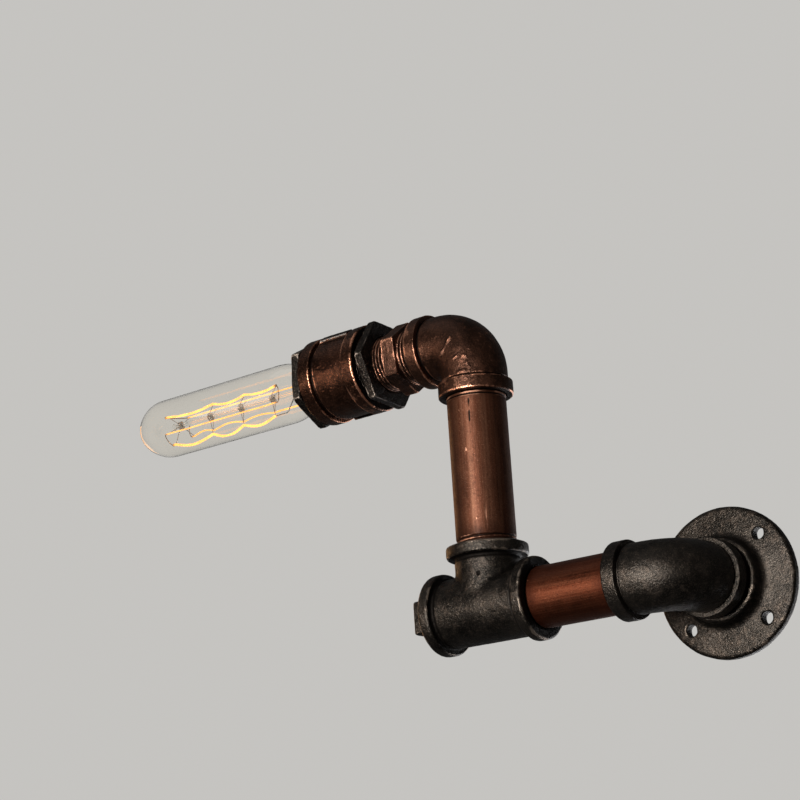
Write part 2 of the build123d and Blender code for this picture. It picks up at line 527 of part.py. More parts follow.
# strands of the cage, as angles from the lowest line seen from the front
STRANDS = (-45.3, -84.7, -135.1, 117.1, 94.8, 56.5)
E_DN = (-0.346, -0.938)                         # (front, up) direction of angle 0
E_SD = (0.938, -0.346)


def cage(angle, r):
    t = math.radians(angle)
    return (E_DN[0] * r * math.cos(t) - E_SD[0] * r * math.sin(t), E_DN[1] * r * math.cos(t) - E_SD[1] * r * math.sin(t) - CAGE_DROP)


FIL_R = 0.3
# the wires of the first three spiders lean along the lamp, those of the last stand square
LEAN = (-6.3, -9.0, -12.7, 3.0, 5.5, 8.9)
spiders = []
for k, s in enumerate(CAGE_S[1:]):
    ring = cyl(2.5, s - 0.9, s + 0.9) - cyl(1.65, s - 1, s + 1)
    for ang, lean in zip(STRANDS, LEAN if k < 3 else (0,) * 6):
        p = cage(ang, CAGE_R - FIL_R - 0.1)
        ln = math.hypot(*p)
        q = (p[0] / ln * 2.1, p[1] / ln * 2.1)
        d = Vector(p[0] - q[0], p[1] - q[1], lean)
        wire = Plane(origin=(q[0], q[1], s), z_dir=d) * Circle(0.22)
        ring = ring + extrude(wire, amount=d.length).solid()
    spiders.append(HEAD.location * ring.solid())
keep("filament_supports", Compound(spiders))

pts = []
s_near, s_far = CAGE_S[1] - 13.0, CAGE_S[4] + 3.0
for i, ang in enumerate(STRANDS):
    p = cage(ang, CAGE_R)
    ends = (s_near, s_far) if i % 2 == 0 else (s_far, s_near)
    pts += [h3(p[0], p[1], ends[0]), h3(p[0], p[1], ends[1])]
fil = [1.4] * (len(pts) - 2)
keep("filament", tube_path(pts, fil, FIL_R))

leads = []
for ang, side_f in ((STRANDS[0], 1), (STRANDS[-1], -1)):
    p = cage(ang, CAGE_R)
    a = h3(side_f * 2.2, -1.2, 124.6)
    b = h3(side_f * 2.2, -1.2, 131.0)
    c = h3(p[0], p[1], s_near - 3.4)
    e = h3(p[0], p[1], s_near)
    leads.append(tube_path([a, b, c, e], [3.0, 1.4], 0.35))
keep("bulb_lead_wires", Compound(leads))

# ---------------------------------------------------------------------------
for name, shape in NODES.items():
    export_step(shape, "parts/%s.step" % name)
print(len(NODES), "pieces written")
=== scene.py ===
import math

import bpy
import numpy as np
from mathutils import Matrix, Vector


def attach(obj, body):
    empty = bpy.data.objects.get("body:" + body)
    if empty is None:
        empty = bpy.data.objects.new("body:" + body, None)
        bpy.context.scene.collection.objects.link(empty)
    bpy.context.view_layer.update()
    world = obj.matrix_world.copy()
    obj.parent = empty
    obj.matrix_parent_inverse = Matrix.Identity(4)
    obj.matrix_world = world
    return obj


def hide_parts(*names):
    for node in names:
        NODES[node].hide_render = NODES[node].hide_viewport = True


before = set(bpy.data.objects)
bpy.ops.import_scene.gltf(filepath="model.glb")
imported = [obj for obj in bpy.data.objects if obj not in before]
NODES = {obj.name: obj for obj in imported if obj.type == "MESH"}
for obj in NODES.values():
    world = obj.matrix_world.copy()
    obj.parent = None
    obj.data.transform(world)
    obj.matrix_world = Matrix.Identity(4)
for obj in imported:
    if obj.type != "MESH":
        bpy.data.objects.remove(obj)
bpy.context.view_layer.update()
scene = bpy.context.scene

# ---------------------------------------------------------------------------
# layout, in millimetres in the row frame (the same numbers as the construction)
# ---------------------------------------------------------------------------
RUN, PROJ, RISE = 118.0, 55.0, 154.35
HEAD_C = np.array((-RUN, -PROJ, RISE))
TEE_C = np.array((-RUN, -PROJ, 0.0))
WALL_C = np.array((0.0, -PROJ, 0.0))
PIPE_R, PIPE_BORE_R, THREAD_R, SOCKET_R = 16.85, 13.6, 16.5, 16.55
ENGAGE = 13.6
ELBOW_END, ELBOW_BEND, ELBOW_BODY_R, ELBOW_COLLAR_R, ELBOW_COLLAR_W = 34.2, 20.6, 18.9, 21.3, 8.0
WATERWAY_R = 14.3
TEE_END = 34.0
PITCH = 2.309

AX_HEAD = (HEAD_C, np.array((0, -1, 0.0)), np.array((0, 0, 1.0)), np.array((-1, 0, 0.0)))
AX_RISER = (TEE_C, np.array((1, 0, 0.0)), np.array((0, 1, 0.0)), np.array((0, 0, 1.0)))
AX_RUN = (TEE_C, np.array((0, -1, 0.0)), np.array((0, 0, -1.0)), np.array((1, 0, 0.0)))
AX_WALL = (np.zeros(3), np.array((1, 0, 0.0)), np.array((0, 0, 1.0)), np.array((0, -1, 0.0)))


# ---------------------------------------------------------------------------
# noise on numpy arrays, the same every run
# ---------------------------------------------------------------------------
def _hash(ix, iy, iz, seed):
    h = (ix.astype(np.uint32) * np.uint32(374761393)) ^ (iy.astype(np.uint32) * np.uint32(668265263)) \
        ^ (iz.astype(np.uint32) * np.uint32(2147483647)) ^ np.uint32((seed * 362437 + 12345) & 0xFFFFFFFF)
    h = (h ^ (h >> np.uint32(13))) * np.uint32(1274126177)
    h = h ^ (h >> np.uint32(16))
    return h.astype(np.float64) / 4294967295.0 * 2.0 - 1.0


def noise3(p, scale, seed=0):
    """Smooth value noise in -1..1; scale is the feature size in the units of p."""
    q = np.asarray(p, float) / scale + 1000.0
    i = np.floor(q).astype(np.int64)
    f = q - i
    f = f * f * f * (f * (f * 6 - 15) + 10)
    out = 0.0
    for dx in (0, 1):
        wx = f[..., 0] if dx else 1 - f[..., 0]
        for dy in (0, 1):
            wy = f[..., 1] if dy else 1 - f[..., 1]
            for dz in (0, 1):
                wz = f[..., 2] if dz else 1 - f[..., 2]
                out = out + wx * wy * wz * _hash(i[..., 0] + dx, i[..., 1] + dy, i[..., 2] + dz, seed)
    return out


def fbm(p, scale, octaves=3, seed=0):
    out, amp, tot = 0.0, 1.0, 0.0
    for k in range(octaves):
        out = out + amp * noise3(p, scale / 2 ** k, seed + 17 * k)
        tot += amp
        amp *= 0.55
    return out / tot


def smooth01(x, a, b):
    t = np.clip((np.asarray(x, float) - a) / (b - a), 0, 1)
    return t * t * (3 - 2 * t)


# ---------------------------------------------------------------------------
# mesh builders
# ---------------------------------------------------------------------------
def profile(pts, step=0.5):
    """Closed (r, s) outline with rounded corners, as dense points.
    Each point is (r, s[, fillet[, spacing of the run after it]])."""
    n = len(pts)
    corner = []
    for i in range(n):
        p = pts[i]
        c = np.array(p[:2], float)
        f = p[2] if len(p) > 2 else 0.0
        if f <= 0:
            corner.append([c])
            continue
        a, b = np.array(pts[i - 1][:2], float), np.array(pts[(i + 1) % n][:2], float)
        ua, ub = (a - c) / np.linalg.norm(a - c), (b - c) / np.linalg.norm(b - c)
        half = math.acos(float(np.clip(ua @ ub, -1, 1))) / 2
        t = f / math.tan(half)
        bis = (ua + ub) / np.linalg.norm(ua + ub)
        o = c + bis * f / math.sin(half)
        pa, pb = c + ua * t - o, c + ub * t - o
        ang = math.pi - 2 * half
        k = max(3, int(math.ceil(ang / math.radians(13))))
        sgn = 1 if pa[0] * pb[1] - pa[1] * pb[0] > 0 else -1
        arc = []
        for j in range(k + 1):
            w = sgn * ang * j / k
            arc.append(o + np.array((pa[0] * math.cos(w) - pa[1] * math.sin(w), pa[0] * math.sin(w) + pa[1] * math.cos(w))))
        corner.append(arc)
    out = []
    for i in range(n):
        out += corner[i]
        a, b = corner[i][-1], corner[(i + 1) % n][0]
        st = pts[i][3] if len(pts[i]) > 3 else step
        k = int(np.linalg.norm(b - a) / st)
        for j in range(1, k + 1):
            out.append(a + (b - a) * j / (k + 1))
    keep = [out[0]]
    for q in out[1:]:
        if np.linalg.norm(q - keep[-1]) > 1e-4:
            keep.append(q)
    if np.linalg.norm(keep[0] - keep[-1]) < 1e-4:
        keep.pop()
    return np.array(keep)


def place(axes, x, y, z):
    o, ex, ey, ez = axes
    return o + x[..., None] * ex + y[..., None] * ey + z[..., None] * ez


def lathe(axes, prof, m, mod=None):
    """Grid of points (rows along the outline, columns round the axis)."""
    th = np.linspace(0, 2 * math.pi, m, endpoint=False)[None, :]
    r = np.repeat(prof[:, :1], m, 1)
    s = np.repeat(prof[:, 1:2], m, 1)
    if mod is not None:
        r, s = mod(r, s, th)
    return place(axes, r * np.cos(th), r * np.sin(th), s)


def mesh_from_grid(name, P):
    n, m = P.shape[:2]
    idx = np.arange(n * m).reshape(n, m)
    a = idx
    b = np.roll(idx, -1, 0)
    c = np.roll(b, -1, 1)
    d = np.roll(idx, -1, 1)
    quads = np.stack((a, b, c, d), -1).reshape(-1, 4)
    co = P.reshape(-1, 3)
    # outward faces: positive enclosed volume
    v = co[quads]
    vol = np.einsum("ij,ij->i", v[:, 0], np.cross(v[:, 1], v[:, 2])).sum() + np.einsum("ij,ij->i", v[:, 0], np.cross(v[:, 2], v[:, 3])).sum()
    if vol < 0:
        quads = quads[:, ::-1]
    me = bpy.data.meshes.new(name)
    me.from_pydata((co * 1e-3).tolist(), [], quads.tolist())
    me.update()
    return me


def mesh_from_node(name, node, voxel, relax=6):
    """The construction's own shape as an even mesh with soft cast corners."""
    src = NODES[node]
    me = src.data.copy()
    ob = bpy.data.objects.new(name + "_tmp", me)
    scene.collection.objects.link(ob)
    w = ob.modifiers.new("weld", "WELD")
    w.merge_threshold = 1e-6
    rm = ob.modifiers.new("even", "REMESH")
    rm.mode = "VOXEL"
    rm.voxel_size = voxel * 1e-3
    sm = ob.modifiers.new("relax", "SMOOTH")
    sm.factor = 0.5
    sm.iterations = relax
    dg = bpy.context.evaluated_depsgraph_get()
    dg.update()
    out = bpy.data.meshes.new_from_object(ob.evaluated_get(dg), depsgraph=dg)
    out.name = name
    bpy.data.objects.remove(ob)
    out.materials.clear()
    return out


def coords(me):
    co = np.empty(len(me.vertices) * 3)
    me.vertices.foreach_get("co", co)
    return co.reshape(-1, 3) * 1e3


def normals(me):
    no = np.empty(len(me.vertices) * 3)
    me.vertex_normals.foreach_get("vector", no)
    return no.reshape(-1, 3)


def neighbours(me):
    e = np.empty(len(me.edges) * 2, np.int64)
    me.edges.foreach_get("vertices", e)
    return e.reshape(-1, 2)


def blur(val, e, count, times):
    """Average over neighbours, a few times; val is (n,) or (n, k)."""
    n = len(val)
    for _ in range(times):
        if val.ndim == 1:
            acc = np.bincount(e[:, 0], val[e[:, 1]], n) + np.bincount(e[:, 1], val[e[:, 0]], n)
            val = 0.5 * val + 0.5 * acc / count
        else:
            acc = np.stack([np.bincount(e[:, 0], val[e[:, 1], k], n) + np.bincount(e[:, 1], val[e[:, 0], k], n) for k in range(val.shape[1])], 1)
            val = 0.5 * val + 0.5 * acc / count[:, None]
    return val


def dress(me, rough=1.0, seed=0, extra=None, wear_iters=14, wear_gain=1.0, marks=None):
    """Adds the cast skin to a mesh and stores how proud each point is, as rubbed wear plus the painted highlights that
    the marks add, and how sunk it is, which the materials paint as shade.
    """
    co, no, e = coords(me), normals(me), neighbours(me)
    count = np.maximum(np.bincount(e.ravel(), minlength=len(co)), 1).astype(float)
    soft = blur(co, e, count, wear_iters)
    proud = np.einsum("ij,ij->i", co - soft, no) * wear_gain
    proud = blur(proud, e, count, 2)
    d = rough * (0.11 * fbm(co, 6.5, 2, seed) + 0.075 * fbm(co, 2.3, 2, seed + 5))
    pits = fbm(co, 1.7, 2, seed + 9)
    d = d - rough * 0.16 * smooth01(pits, 0.42, 0.72)
    if extra is not None:
        add, wear_and_painted_light = extra(co, no)
        d = d + add
        proud = proud + wear_and_painted_light
    part = 0.30 + 0.85 * smooth01(fbm(co, 8.0, 2, seed + 3), -0.35, 0.40)       # edges are rubbed here and there, not all round
    proud = np.where(proud > 0, proud * part, proud)
    if marks is not None:
        add, wear_and_painted_light = marks(co, no)
        d = d + add
        proud = proud + wear_and_painted_light
    co2 = (co + no * d[:, None]) * 1e-3
    me.vertices.foreach_set("co", co2.ravel())
    # proud points get the rubbed-edge colour (wear and painted highlights); sunk points get painted shade
    for nm, v in (("wear_and_highlight", np.clip(proud, 0, 2)), ("sunk", np.clip(-proud, 0, 2)), ("pit", smooth01(pits, 0.35, 0.7))):
        at = me.attributes.new(nm, "FLOAT", "POINT")
        at.data.foreach_set("value", np.ascontiguousarray(v, dtype=np.float32))
    me.polygons.foreach_set("use_smooth", np.ones(len(me.polygons), bool))
    me.update()
    return me


def local(axes, co):
    """Radius, station and angle of points about an axis."""
    o, ex, ey, ez = axes
    d = co - o
    x, y = d @ ex, d @ ey
    return np.hypot(x, y), d @ ez, np.arctan2(y, x)


def ridge(v, at, width):
    return np.exp(-((v - at) / width) ** 2)


def hex_marks(axes, s0, s1, circum, turn, rub_and_highlight=0.22, floor=0.0, rim=0.45):
    """Rubbed lines along the corners and the end rims of a hexagon, and painted shade on the end faces."""
    def fn(co, no):
        r, st, th = local(axes, co)
        flat = circum * math.cos(math.pi / 6)
        d = (th - turn + math.pi / 6) % (math.pi / 3) - math.pi / 6      # 0 in the middle of a flat
        corner = ridge(np.abs(d), math.pi / 6, 0.9 / circum)
        on = (st > s0 - 0.1) & (st < s1 + 0.1) & (r > flat * 0.93)
        rims = np.maximum(ridge(st, s0 + rim, 0.38), ridge(st, s1 - rim, 0.38)) * (r > flat * 0.955)
        face = np.abs(no @ axes[3])
        wear_and_painted_light = np.where(on, rub_and_highlight * np.maximum(corner * (face < 0.6), rims) + floor * (face < 0.35), 0.0)
        # painted shade on the end faces
        wear_and_painted_light = wear_and_painted_light - np.where((face > 0.9) & (r < circum * 0.97) & (st > s0 - 0.3) & (st < s1 + 0.3), 0.07, 0.0)
        return np.zeros(len(co)), wear_and_painted_light
    return fn


def both(*fns):
    def fn(co, no):
        out = [f(co, no) for f in fns]
        return sum(o[0] for o in out), sum(o[1] for o in out)
    return fn


def piece(name, me, body, slot, mat, *nodes):
    ob = bpy.data.objects.new(name, me)
    scene.collection.objects.link(ob)
    me.materials.clear()
    me.materials.append(mat)
    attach(ob, body)
    if nodes:
        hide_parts(*nodes)
    return ob


# ---------------------------------------------------------------------------
# materials
# ---------------------------------------------------------------------------
class Nt:
    """Small helper to wire a node material."""

    def __init__(self, name):
        self.mat = bpy.data.materials.new(name)
        self.mat.use_nodes = True
        self.t = self.mat.node_tree
        self.bsdf = self.t.nodes["Principled BSDF"]
        self.out = self.t.nodes["Material Output"]
        tc = self.t.nodes.new("ShaderNodeTexCoord")
        self.obj = tc.outputs["Object"]

    def set(self, **kw):
        for k, v in kw.items():
            self.bsdf.inputs[k.replace("_", " ")].default_value = v

    def link(self, a, b):
        self.t.links.new(a, b)

    def scaled(self, x, y, z):
        n = self.t.nodes.new("ShaderNodeMapping")
        n.inputs["Scale"].default_value = (x, y, z)
        self.link(self.obj, n.inputs["Vector"])
        return n.outputs["Vector"]

    def noise(self, scale, detail=4.0, rough=0.55, vec=None, distortion=0.0):
        n = self.t.nodes.new("ShaderNodeTexNoise")
        n.inputs["Scale"].default_value = scale
        n.inputs["Detail"].default_value = detail
        n.inputs["Roughness"].default_value = rough
        n.inputs["Distortion"].default_value = distortion
        self.link(vec if vec is not None else self.obj, n.inputs["Vector"])
        return n.outputs["Fac"]

    def voronoi(self, scale, vec=None, feature="F1"):
        n = self.t.nodes.new("ShaderNodeTexVoronoi")
        n.feature = feature
        n.inputs["Scale"].default_value = scale
        self.link(vec if vec is not None else self.obj, n.inputs["Vector"])
        return n.outputs["Distance"]

    def attr(self, name):
        n = self.t.nodes.new("ShaderNodeAttribute")
        n.attribute_type = "GEOMETRY"
        n.attribute_name = name
        return n.outputs["Fac"]

    def math(self, op, a, b=None, c=None, clamp=False):
        n = self.t.nodes.new("ShaderNodeMath")
        n.operation = op
        n.use_clamp = clamp
        for i, v in enumerate((a, b, c)):
            if v is None:
                continue
            if isinstance(v, (int, float)):
                n.inputs[i].default_value = v
            else:
                self.link(v, n.inputs[i])
        return n.outputs[0]

    def ramp(self, fac, a, b, lo=0.0, hi=1.0, smooth=True):
        n = self.t.nodes.new("ShaderNodeMapRange")
        n.interpolation_type = "SMOOTHSTEP" if smooth else "LINEAR"
        self.link(fac, n.inputs["Value"])
        n.inputs["From Min"].default_value = a
        n.inputs["From Max"].default_value = b
        n.inputs["To Min"].default_value = lo
        n.inputs["To Max"].default_value = hi
        return n.outputs["Result"]

    def mix(self, fac, a, b):
        n = self.t.nodes.new("ShaderNodeMix")
        n.data_type = "RGBA"
        if isinstance(fac, (int, float)):
            n.inputs[0].default_value = fac
        else:
            self.link(fac, n.inputs[0])
        for sock, v in ((n.inputs[6], a), (n.inputs[7], b)):
            if isinstance(v, tuple):
                sock.default_value = (*v, 1.0)
            else:
                self.link(v, sock)
        return n.outputs[2]

    def axis(self, which):
        n = self.t.nodes.new("ShaderNodeSeparateXYZ")
        self.link(self.obj, n.inputs[0])
        return n.outputs[which]

    def bump(self, height, strength, dist, below=None):
        n = self.t.nodes.new("ShaderNodeBump")
        n.inputs["Strength"].default_value = strength
        n.inputs["Distance"].default_value = dist
        self.link(height, n.inputs["Height"])
        if below is not None:
            self.link(below, n.inputs["Normal"])
        return n.outputs["Normal"]

    def done(self, color=None, rough=None, normal=None, metal=None):
        if color is not None:
            self.link(color, self.bsdf.inputs["Base Color"])
        if rough is not None:
            self.link(rough, self.bsdf.inputs["Roughness"])
        if normal is not None:
            self.link(normal, self.bsdf.inputs["Normal"])
        if metal is not None:
            self.link(metal, self.bsdf.inputs["Metallic"])
        return self.mat


def cast_metal(name, dark, mid, warm, edge, rough_lo, rough_hi, metal, wear_lo, wear_hi, grain=1.0, edge_rough=0.30, glint=0.0, blotch=0.6, bare=None):
    """Patinated casting: blotchy dark skin, grain, pits, speckles of painted glint, rubbed bright edges that also
    carry the painted highlights of the marks, and painted shade in sunk places and pits.
    """
    k = Nt(name)
    big = k.noise(48, 5, 0.6)
    patch = k.noise(95, 4, 0.6)
    med = k.noise(260, 6, 0.62)
    fine = k.noise(900, 4, 0.6)
    grit = k.noise(2300, 3, 0.55)
    wear_and_highlight = k.attr("wear_and_highlight")
    sunk = k.attr("sunk")
    pit = k.attr("pit")
    skin = k.mix(k.ramp(big, 0.36, 0.66), dark, mid)
    skin = k.mix(k.math("MULTIPLY", k.ramp(med, 0.48, 0.72), blotch), skin, warm)
    # painted glints: fine speckles of the edge colour stand in for sparkling highlights
    spark = k.noise(1500, 3, 0.6)
    skin = k.mix(k.math("MULTIPLY", k.ramp(spark, 0.53, 0.68), glint), skin, edge)
    some = k.ramp(patch, 0.33, 0.66, 0.45, 1.25)
    broken = k.math("MULTIPLY", wear_and_highlight, some)
    broken = k.math("ADD", broken, k.math("MULTIPLY", k.math("SUBTRACT", med, 0.5), 0.26))
    broken = k.math("ADD", broken, k.math("MULTIPLY", k.math("SUBTRACT", fine, 0.5), 0.30))
    rub_and_highlight = k.ramp(broken, wear_lo, wear_hi)
    skin = k.mix(rub_and_highlight, skin, edge)
    if bare is not None:
        skin = k.mix(k.ramp(k.math("ADD", wear_and_highlight, k.math("MULTIPLY", k.math("SUBTRACT", fine, 0.5), 0.25)), 0.52, 0.66), skin, bare)
    # painted shade: sunk places (grooves, recesses, mouth and end faces) and pits are darkened towards near-black
    sunk_shade = k.ramp(k.math("ADD", sunk, k.math("MULTIPLY", pit, 0.05)), 0.02, 0.16, 0.0, 0.9)
    skin = k.mix(sunk_shade, skin, (0.005, 0.004, 0.0035))
    r = k.ramp(k.math("ADD", k.math("MULTIPLY", med, 0.6), k.math("MULTIPLY", fine, 0.4)), 0.3, 0.7, rough_lo, rough_hi, smooth=False)
    r = k.math("ADD", r, k.math("MULTIPLY", rub_and_highlight, edge_rough - (rough_lo + rough_hi) / 2), clamp=True)
    r = k.math("ADD", r, k.math("MULTIPLY", sunk_shade, 0.25), clamp=True)
    h = k.math("ADD", k.math("MULTIPLY", med, 0.40), k.math("ADD", k.math("MULTIPLY", fine, 0.50), k.math("MULTIPLY", grit, 0.20)))
    nrm = k.bump(h, 0.75 * grain, 0.0011)
    k.set(Metallic=metal)
    return k.done(skin, r, nrm)


def pipe_metal(name, axis, dark, mid, light, bright, lo, hi, rough=0.33, streaky=1.0, lacquer=0.5):
    """Drawn pipe with a satin copper-brown lacquer, streaked along its length, darker and rougher towards the ends,
    and with painted shade where it is sunk.
    """
    k = Nt(name)

    def along(across, length):
        v = [across, across, across]
        v[axis] = length
        return k.scaled(*v)

    streak = k.noise(1.0, 5, 0.62, along(300.0, 6.0))
    hair = k.noise(1.0, 4, 0.6, along(1100.0, 16.0))
    lick = k.noise(1.0, 5, 0.65, along(150.0, 34.0))
    big = k.noise(34, 5, 0.6)
    blot = k.noise(150, 6, 0.65)
    fine = k.noise(700, 5, 0.65)
    grit = k.noise(1900, 3, 0.6)
    col = k.mix(k.ramp(streak, 0.36, 0.66), mid, light)
    col = k.mix(k.ramp(hair, 0.50, 0.74, 0.0, 0.50), col, light)
    col = k.mix(k.ramp(hair, 0.26, 0.46, 0.55 * streaky, 0.0), col, dark)
    col = k.mix(k.ramp(lick, 0.52, 0.72, 0.0, 0.60 * streaky), col, dark)
    col = k.mix(k.ramp(big, 0.42, 0.72, 0.0, 0.45 * streaky), col, dark)
    col = k.mix(k.ramp(blot, 0.56, 0.76, 0.0, 0.45), col, dark)
    col = k.mix(k.ramp(fine, 0.52, 0.70, 0.0, 0.45), col, dark)
    col = k.mix(k.ramp(grit, 0.56, 0.72, 0.0, 0.40), col, bright)
    a = k.axis(axis)
    end = k.math("MINIMUM", k.math("SUBTRACT", a, lo), k.math("SUBTRACT", hi, a))
    end = k.math("ADD", end, k.math("MULTIPLY", k.math("SUBTRACT", blot, 0.5), 0.010))
    near_end = k.ramp(end, 0.0, 0.011, 0.70, 0.0)
    col = k.mix(near_end, col, dark)
    speck = k.voronoi(95)
    spot = k.ramp(k.math("ADD", speck, k.math("MULTIPLY", blot, 0.25)), 0.10, 0.145, 1.0, 0.0)
    col = k.mix(k.math("MULTIPLY", spot, 0.7), col, bright)
    fleck = k.voronoi(240)
    fspot = k.ramp(k.math("ADD", fleck, k.math("MULTIPLY", fine, 0.2)), 0.14, 0.20, 1.0, 0.0)
    col = k.mix(k.math("MULTIPLY", fspot, 0.6), col, (0.010, 0.006, 0.004))
    wear_and_highlight = k.attr("wear_and_highlight")
    rub_and_highlight = k.ramp(k.math("ADD", wear_and_highlight, k.math("MULTIPLY", k.math("SUBTRACT", fine, 0.5), 0.16)), 0.05, 0.22)
    col = k.mix(rub_and_highlight, col, bright)
    # painted shade in grooves from the sunk attribute; the seam line is darkened the same way
    col = k.mix(k.ramp(k.attr("sunk"), 0.04, 0.20, 0.0, 0.95), col, (0.004, 0.003, 0.002))
    r = k.math("ADD", k.math("MULTIPLY", k.math("SUBTRACT", hair, 0.5), 0.30), rough)
    r = k.math("ADD", r, k.math("MULTIPLY", k.math("SUBTRACT", fine, 0.5), 0.35))
    r = k.math("ADD", r, k.math("MULTIPLY", k.math("SUBTRACT", blot, 0.5), 0.24))
    r = k.math("ADD", r, k.math("MULTIPLY", near_end, 0.22), clamp=True)
    h = k.math("ADD", k.math("MULTIPLY", hair, 0.45), k.math("ADD", k.math("MULTIPLY", fine, 0.40), k.math("MULTIPLY", grit, 0.22)))
    h = k.math("ADD", h, k.math("MULTIPLY", spot, 0.25))
    nrm = k.bump(h, 0.34, 0.0005)
    k.set(Metallic=1.0, Coat_Weight=lacquer, Coat_Roughness=0.38)
    return k.done(col, r, nrm)


BRONZE = cast_metal("aged_bronze", (0.030, 0.0131, 0.0084), (0.088, 0.0373, 0.0233), (0.148, 0.061, 0.0367), (0.56, 0.265, 0.165),
                    0.17, 0.29, 0.94, 0.070, 0.22, 0.54, 0.26, 0.34, 0.5, (0.72, 0.66, 0.62))
BRONZE_SOFT = cast_metal("aged_bronze_soft", (0.034, 0.0160, 0.0104), (0.083, 0.0382, 0.0246), (0.122, 0.0537, 0.0334), (0.54, 0.255, 0.160),
                         0.27, 0.42, 0.94, 0.075, 0.23, 0.55, 0.26, 0.14, 0.5)
BRONZE_HEX = cast_metal("aged_bronze_bright", (0.030, 0.0143, 0.0095), (0.074, 0.0346, 0.0222), (0.130, 0.0600, 0.0380), (0.54, 0.265, 0.172),
                        0.27, 0.48, 0.94, 0.070, 0.23, 1.0, 0.28, 0.30)
IRON = cast_metal("black_iron", (0.0110, 0.0098, 0.0086), (0.034, 0.0295, 0.0255), (0.070, 0.055, 0.0445), (0.27, 0.22, 0.18),
                  0.26, 0.46, 0.92, 0.10, 0.30, 0.75, 0.34, 0.22)
IRON_HEX = cast_metal("black_iron_rubbed", (0.0070, 0.0060, 0.0054), (0.018, 0.0152, 0.0130), (0.040, 0.031, 0.025), (0.36, 0.30, 0.255),
                      0.27, 0.48, 0.92, 0.095, 0.29, 1.3, 0.32, 0.30)
RISER = pipe_metal("copper_pipe", 2, (0.026, 0.0085, 0.0046), (0.086, 0.0295, 0.0152), (0.134, 0.0580, 0.0335), (0.40, 0.205, 0.135), 0.0370, 0.1225, 0.49, 1.0, 0.12)
RUNP = pipe_metal("red_copper_pipe", 0, (0.036, 0.0084, 0.0040), (0.092, 0.0238, 0.0106), (0.124, 0.0382, 0.0188), (0.33, 0.130, 0.075), -0.0835, -0.0345, 0.43, 0.14, 0.08)
WALLP = pipe_metal("red_copper_nipple", 1, (0.050, 0.0125, 0.0062), (0.145, 0.0395, 0.0185), (0.205, 0.067, 0.0345), (0.42, 0.17, 0.10), -0.0235, -0.0135, 0.38, 0.6, 0.10)


def simple_metal(name, color, color2, rough, scale=300, metal=1.0, bump=0.1):
    k = Nt(name)
    n = k.noise(scale, 5, 0.6)
    f = k.noise(scale * 5, 3, 0.5)
    k.set(Metallic=metal)
    col = k.mix(k.ramp(n, 0.35, 0.68), color, color2)
    r = k.ramp(n, 0.3, 0.7, rough - 0.08, rough + 0.10)
    return k.done(col, r, k.bump(k.math("ADD", n, k.math("MULTIPLY", f, 0.5)), bump, 0.0003))


BRASS = simple_metal("brass", (0.60, 0.42, 0.17), (0.42, 0.27, 0.10), 0.30)
CAPM = simple_metal("nickel_brass", (0.62, 0.55, 0.40), (0.44, 0.36, 0.23), 0.28)
STEEL = simple_metal("wire_steel", (0.50, 0.47, 0.43), (0.36, 0.33, 0.30), 0.34, 500)
ZINC = simple_metal("zinc_steel", (0.60, 0.59, 0.57), (0.46, 0.45, 0.42), 0.34)
SOLDER = simple_metal("solder", (0.55, 0.55, 0.53), (0.38, 0.38, 0.37), 0.42)


def plain_coat(name, color, color2, rough, scale=240, coat=0.0, bump=0.08):
    k = Nt(name)
    n = k.noise(scale, 5, 0.6)
    f = k.noise(scale * 6, 3, 0.5)
    k.set(Coat_Weight=coat, Coat_Roughness=0.08)
    col = k.mix(k.ramp(n, 0.35, 0.68), color, color2)
    r = k.ramp(n, 0.3, 0.7, rough - 0.06, rough + 0.08)
    return k.done(col, r, k.bump(f, bump, 0.0003))


PORC = plain_coat("porcelain", (0.80, 0.78, 0.72), (0.70, 0.67, 0.60), 0.30, 120, 0.8)
SHEATH = plain_coat("flex_sheath", (0.020, 0.020, 0.021), (0.035, 0.034, 0.034), 0.55)
BROWN = plain_coat("core_brown", (0.16, 0.062, 0.028), (0.11, 0.042, 0.020), 0.42)
BLUE = plain_coat("core_blue", (0.020, 0.085, 0.32), (0.014, 0.058, 0.24), 0.42)
NYLON = plain_coat("nylon", (0.78, 0.75, 0.66), (0.68, 0.64, 0.55), 0.46)
VITRITE = plain_coat("vitrite", (0.010, 0.010, 0.012), (0.020, 0.019, 0.022), 0.16, 200, 0.6)

k = Nt("core_earth")                       # green with a yellow helical stripe
band = k.t.nodes.new("ShaderNodeTexWave")
band.bands_direction = "DIAGONAL"
band.inputs["Scale"].default_value = 160
band.inputs["Distortion"].default_value = 0.6
k.link(k.obj, band.inputs["Vector"])
k.set(Roughness=0.42)
EARTH = k.done(k.mix(k.ramp(band.outputs["Fac"], 0.45, 0.55), (0.06, 0.26, 0.035), (0.72, 0.60, 0.04)))


def glass(name, tint, rough, ior, haze=0.0):
    k = Nt(name)
    n = k.noise(55, 3, 0.5)
    f = k.noise(420, 4, 0.6)
    k.set(Transmission_Weight=1.0, IOR=ior)
    col = k.mix(k.ramp(n, 0.4, 0.7), tint, tuple(c * 0.985 for c in tint))
    r = k.ramp(f, 0.45, 0.75, rough, rough + haze)
    return k.done(col, r, k.bump(n, 0.02, 0.0004))


GLASS = glass("clear_glass", (1.0, 0.985, 0.95), 0.0, 1.45, 0.012)
STEMG = glass("stem_glass", (0.97, 0.97, 0.95), 0.01, 1.48, 0.03)

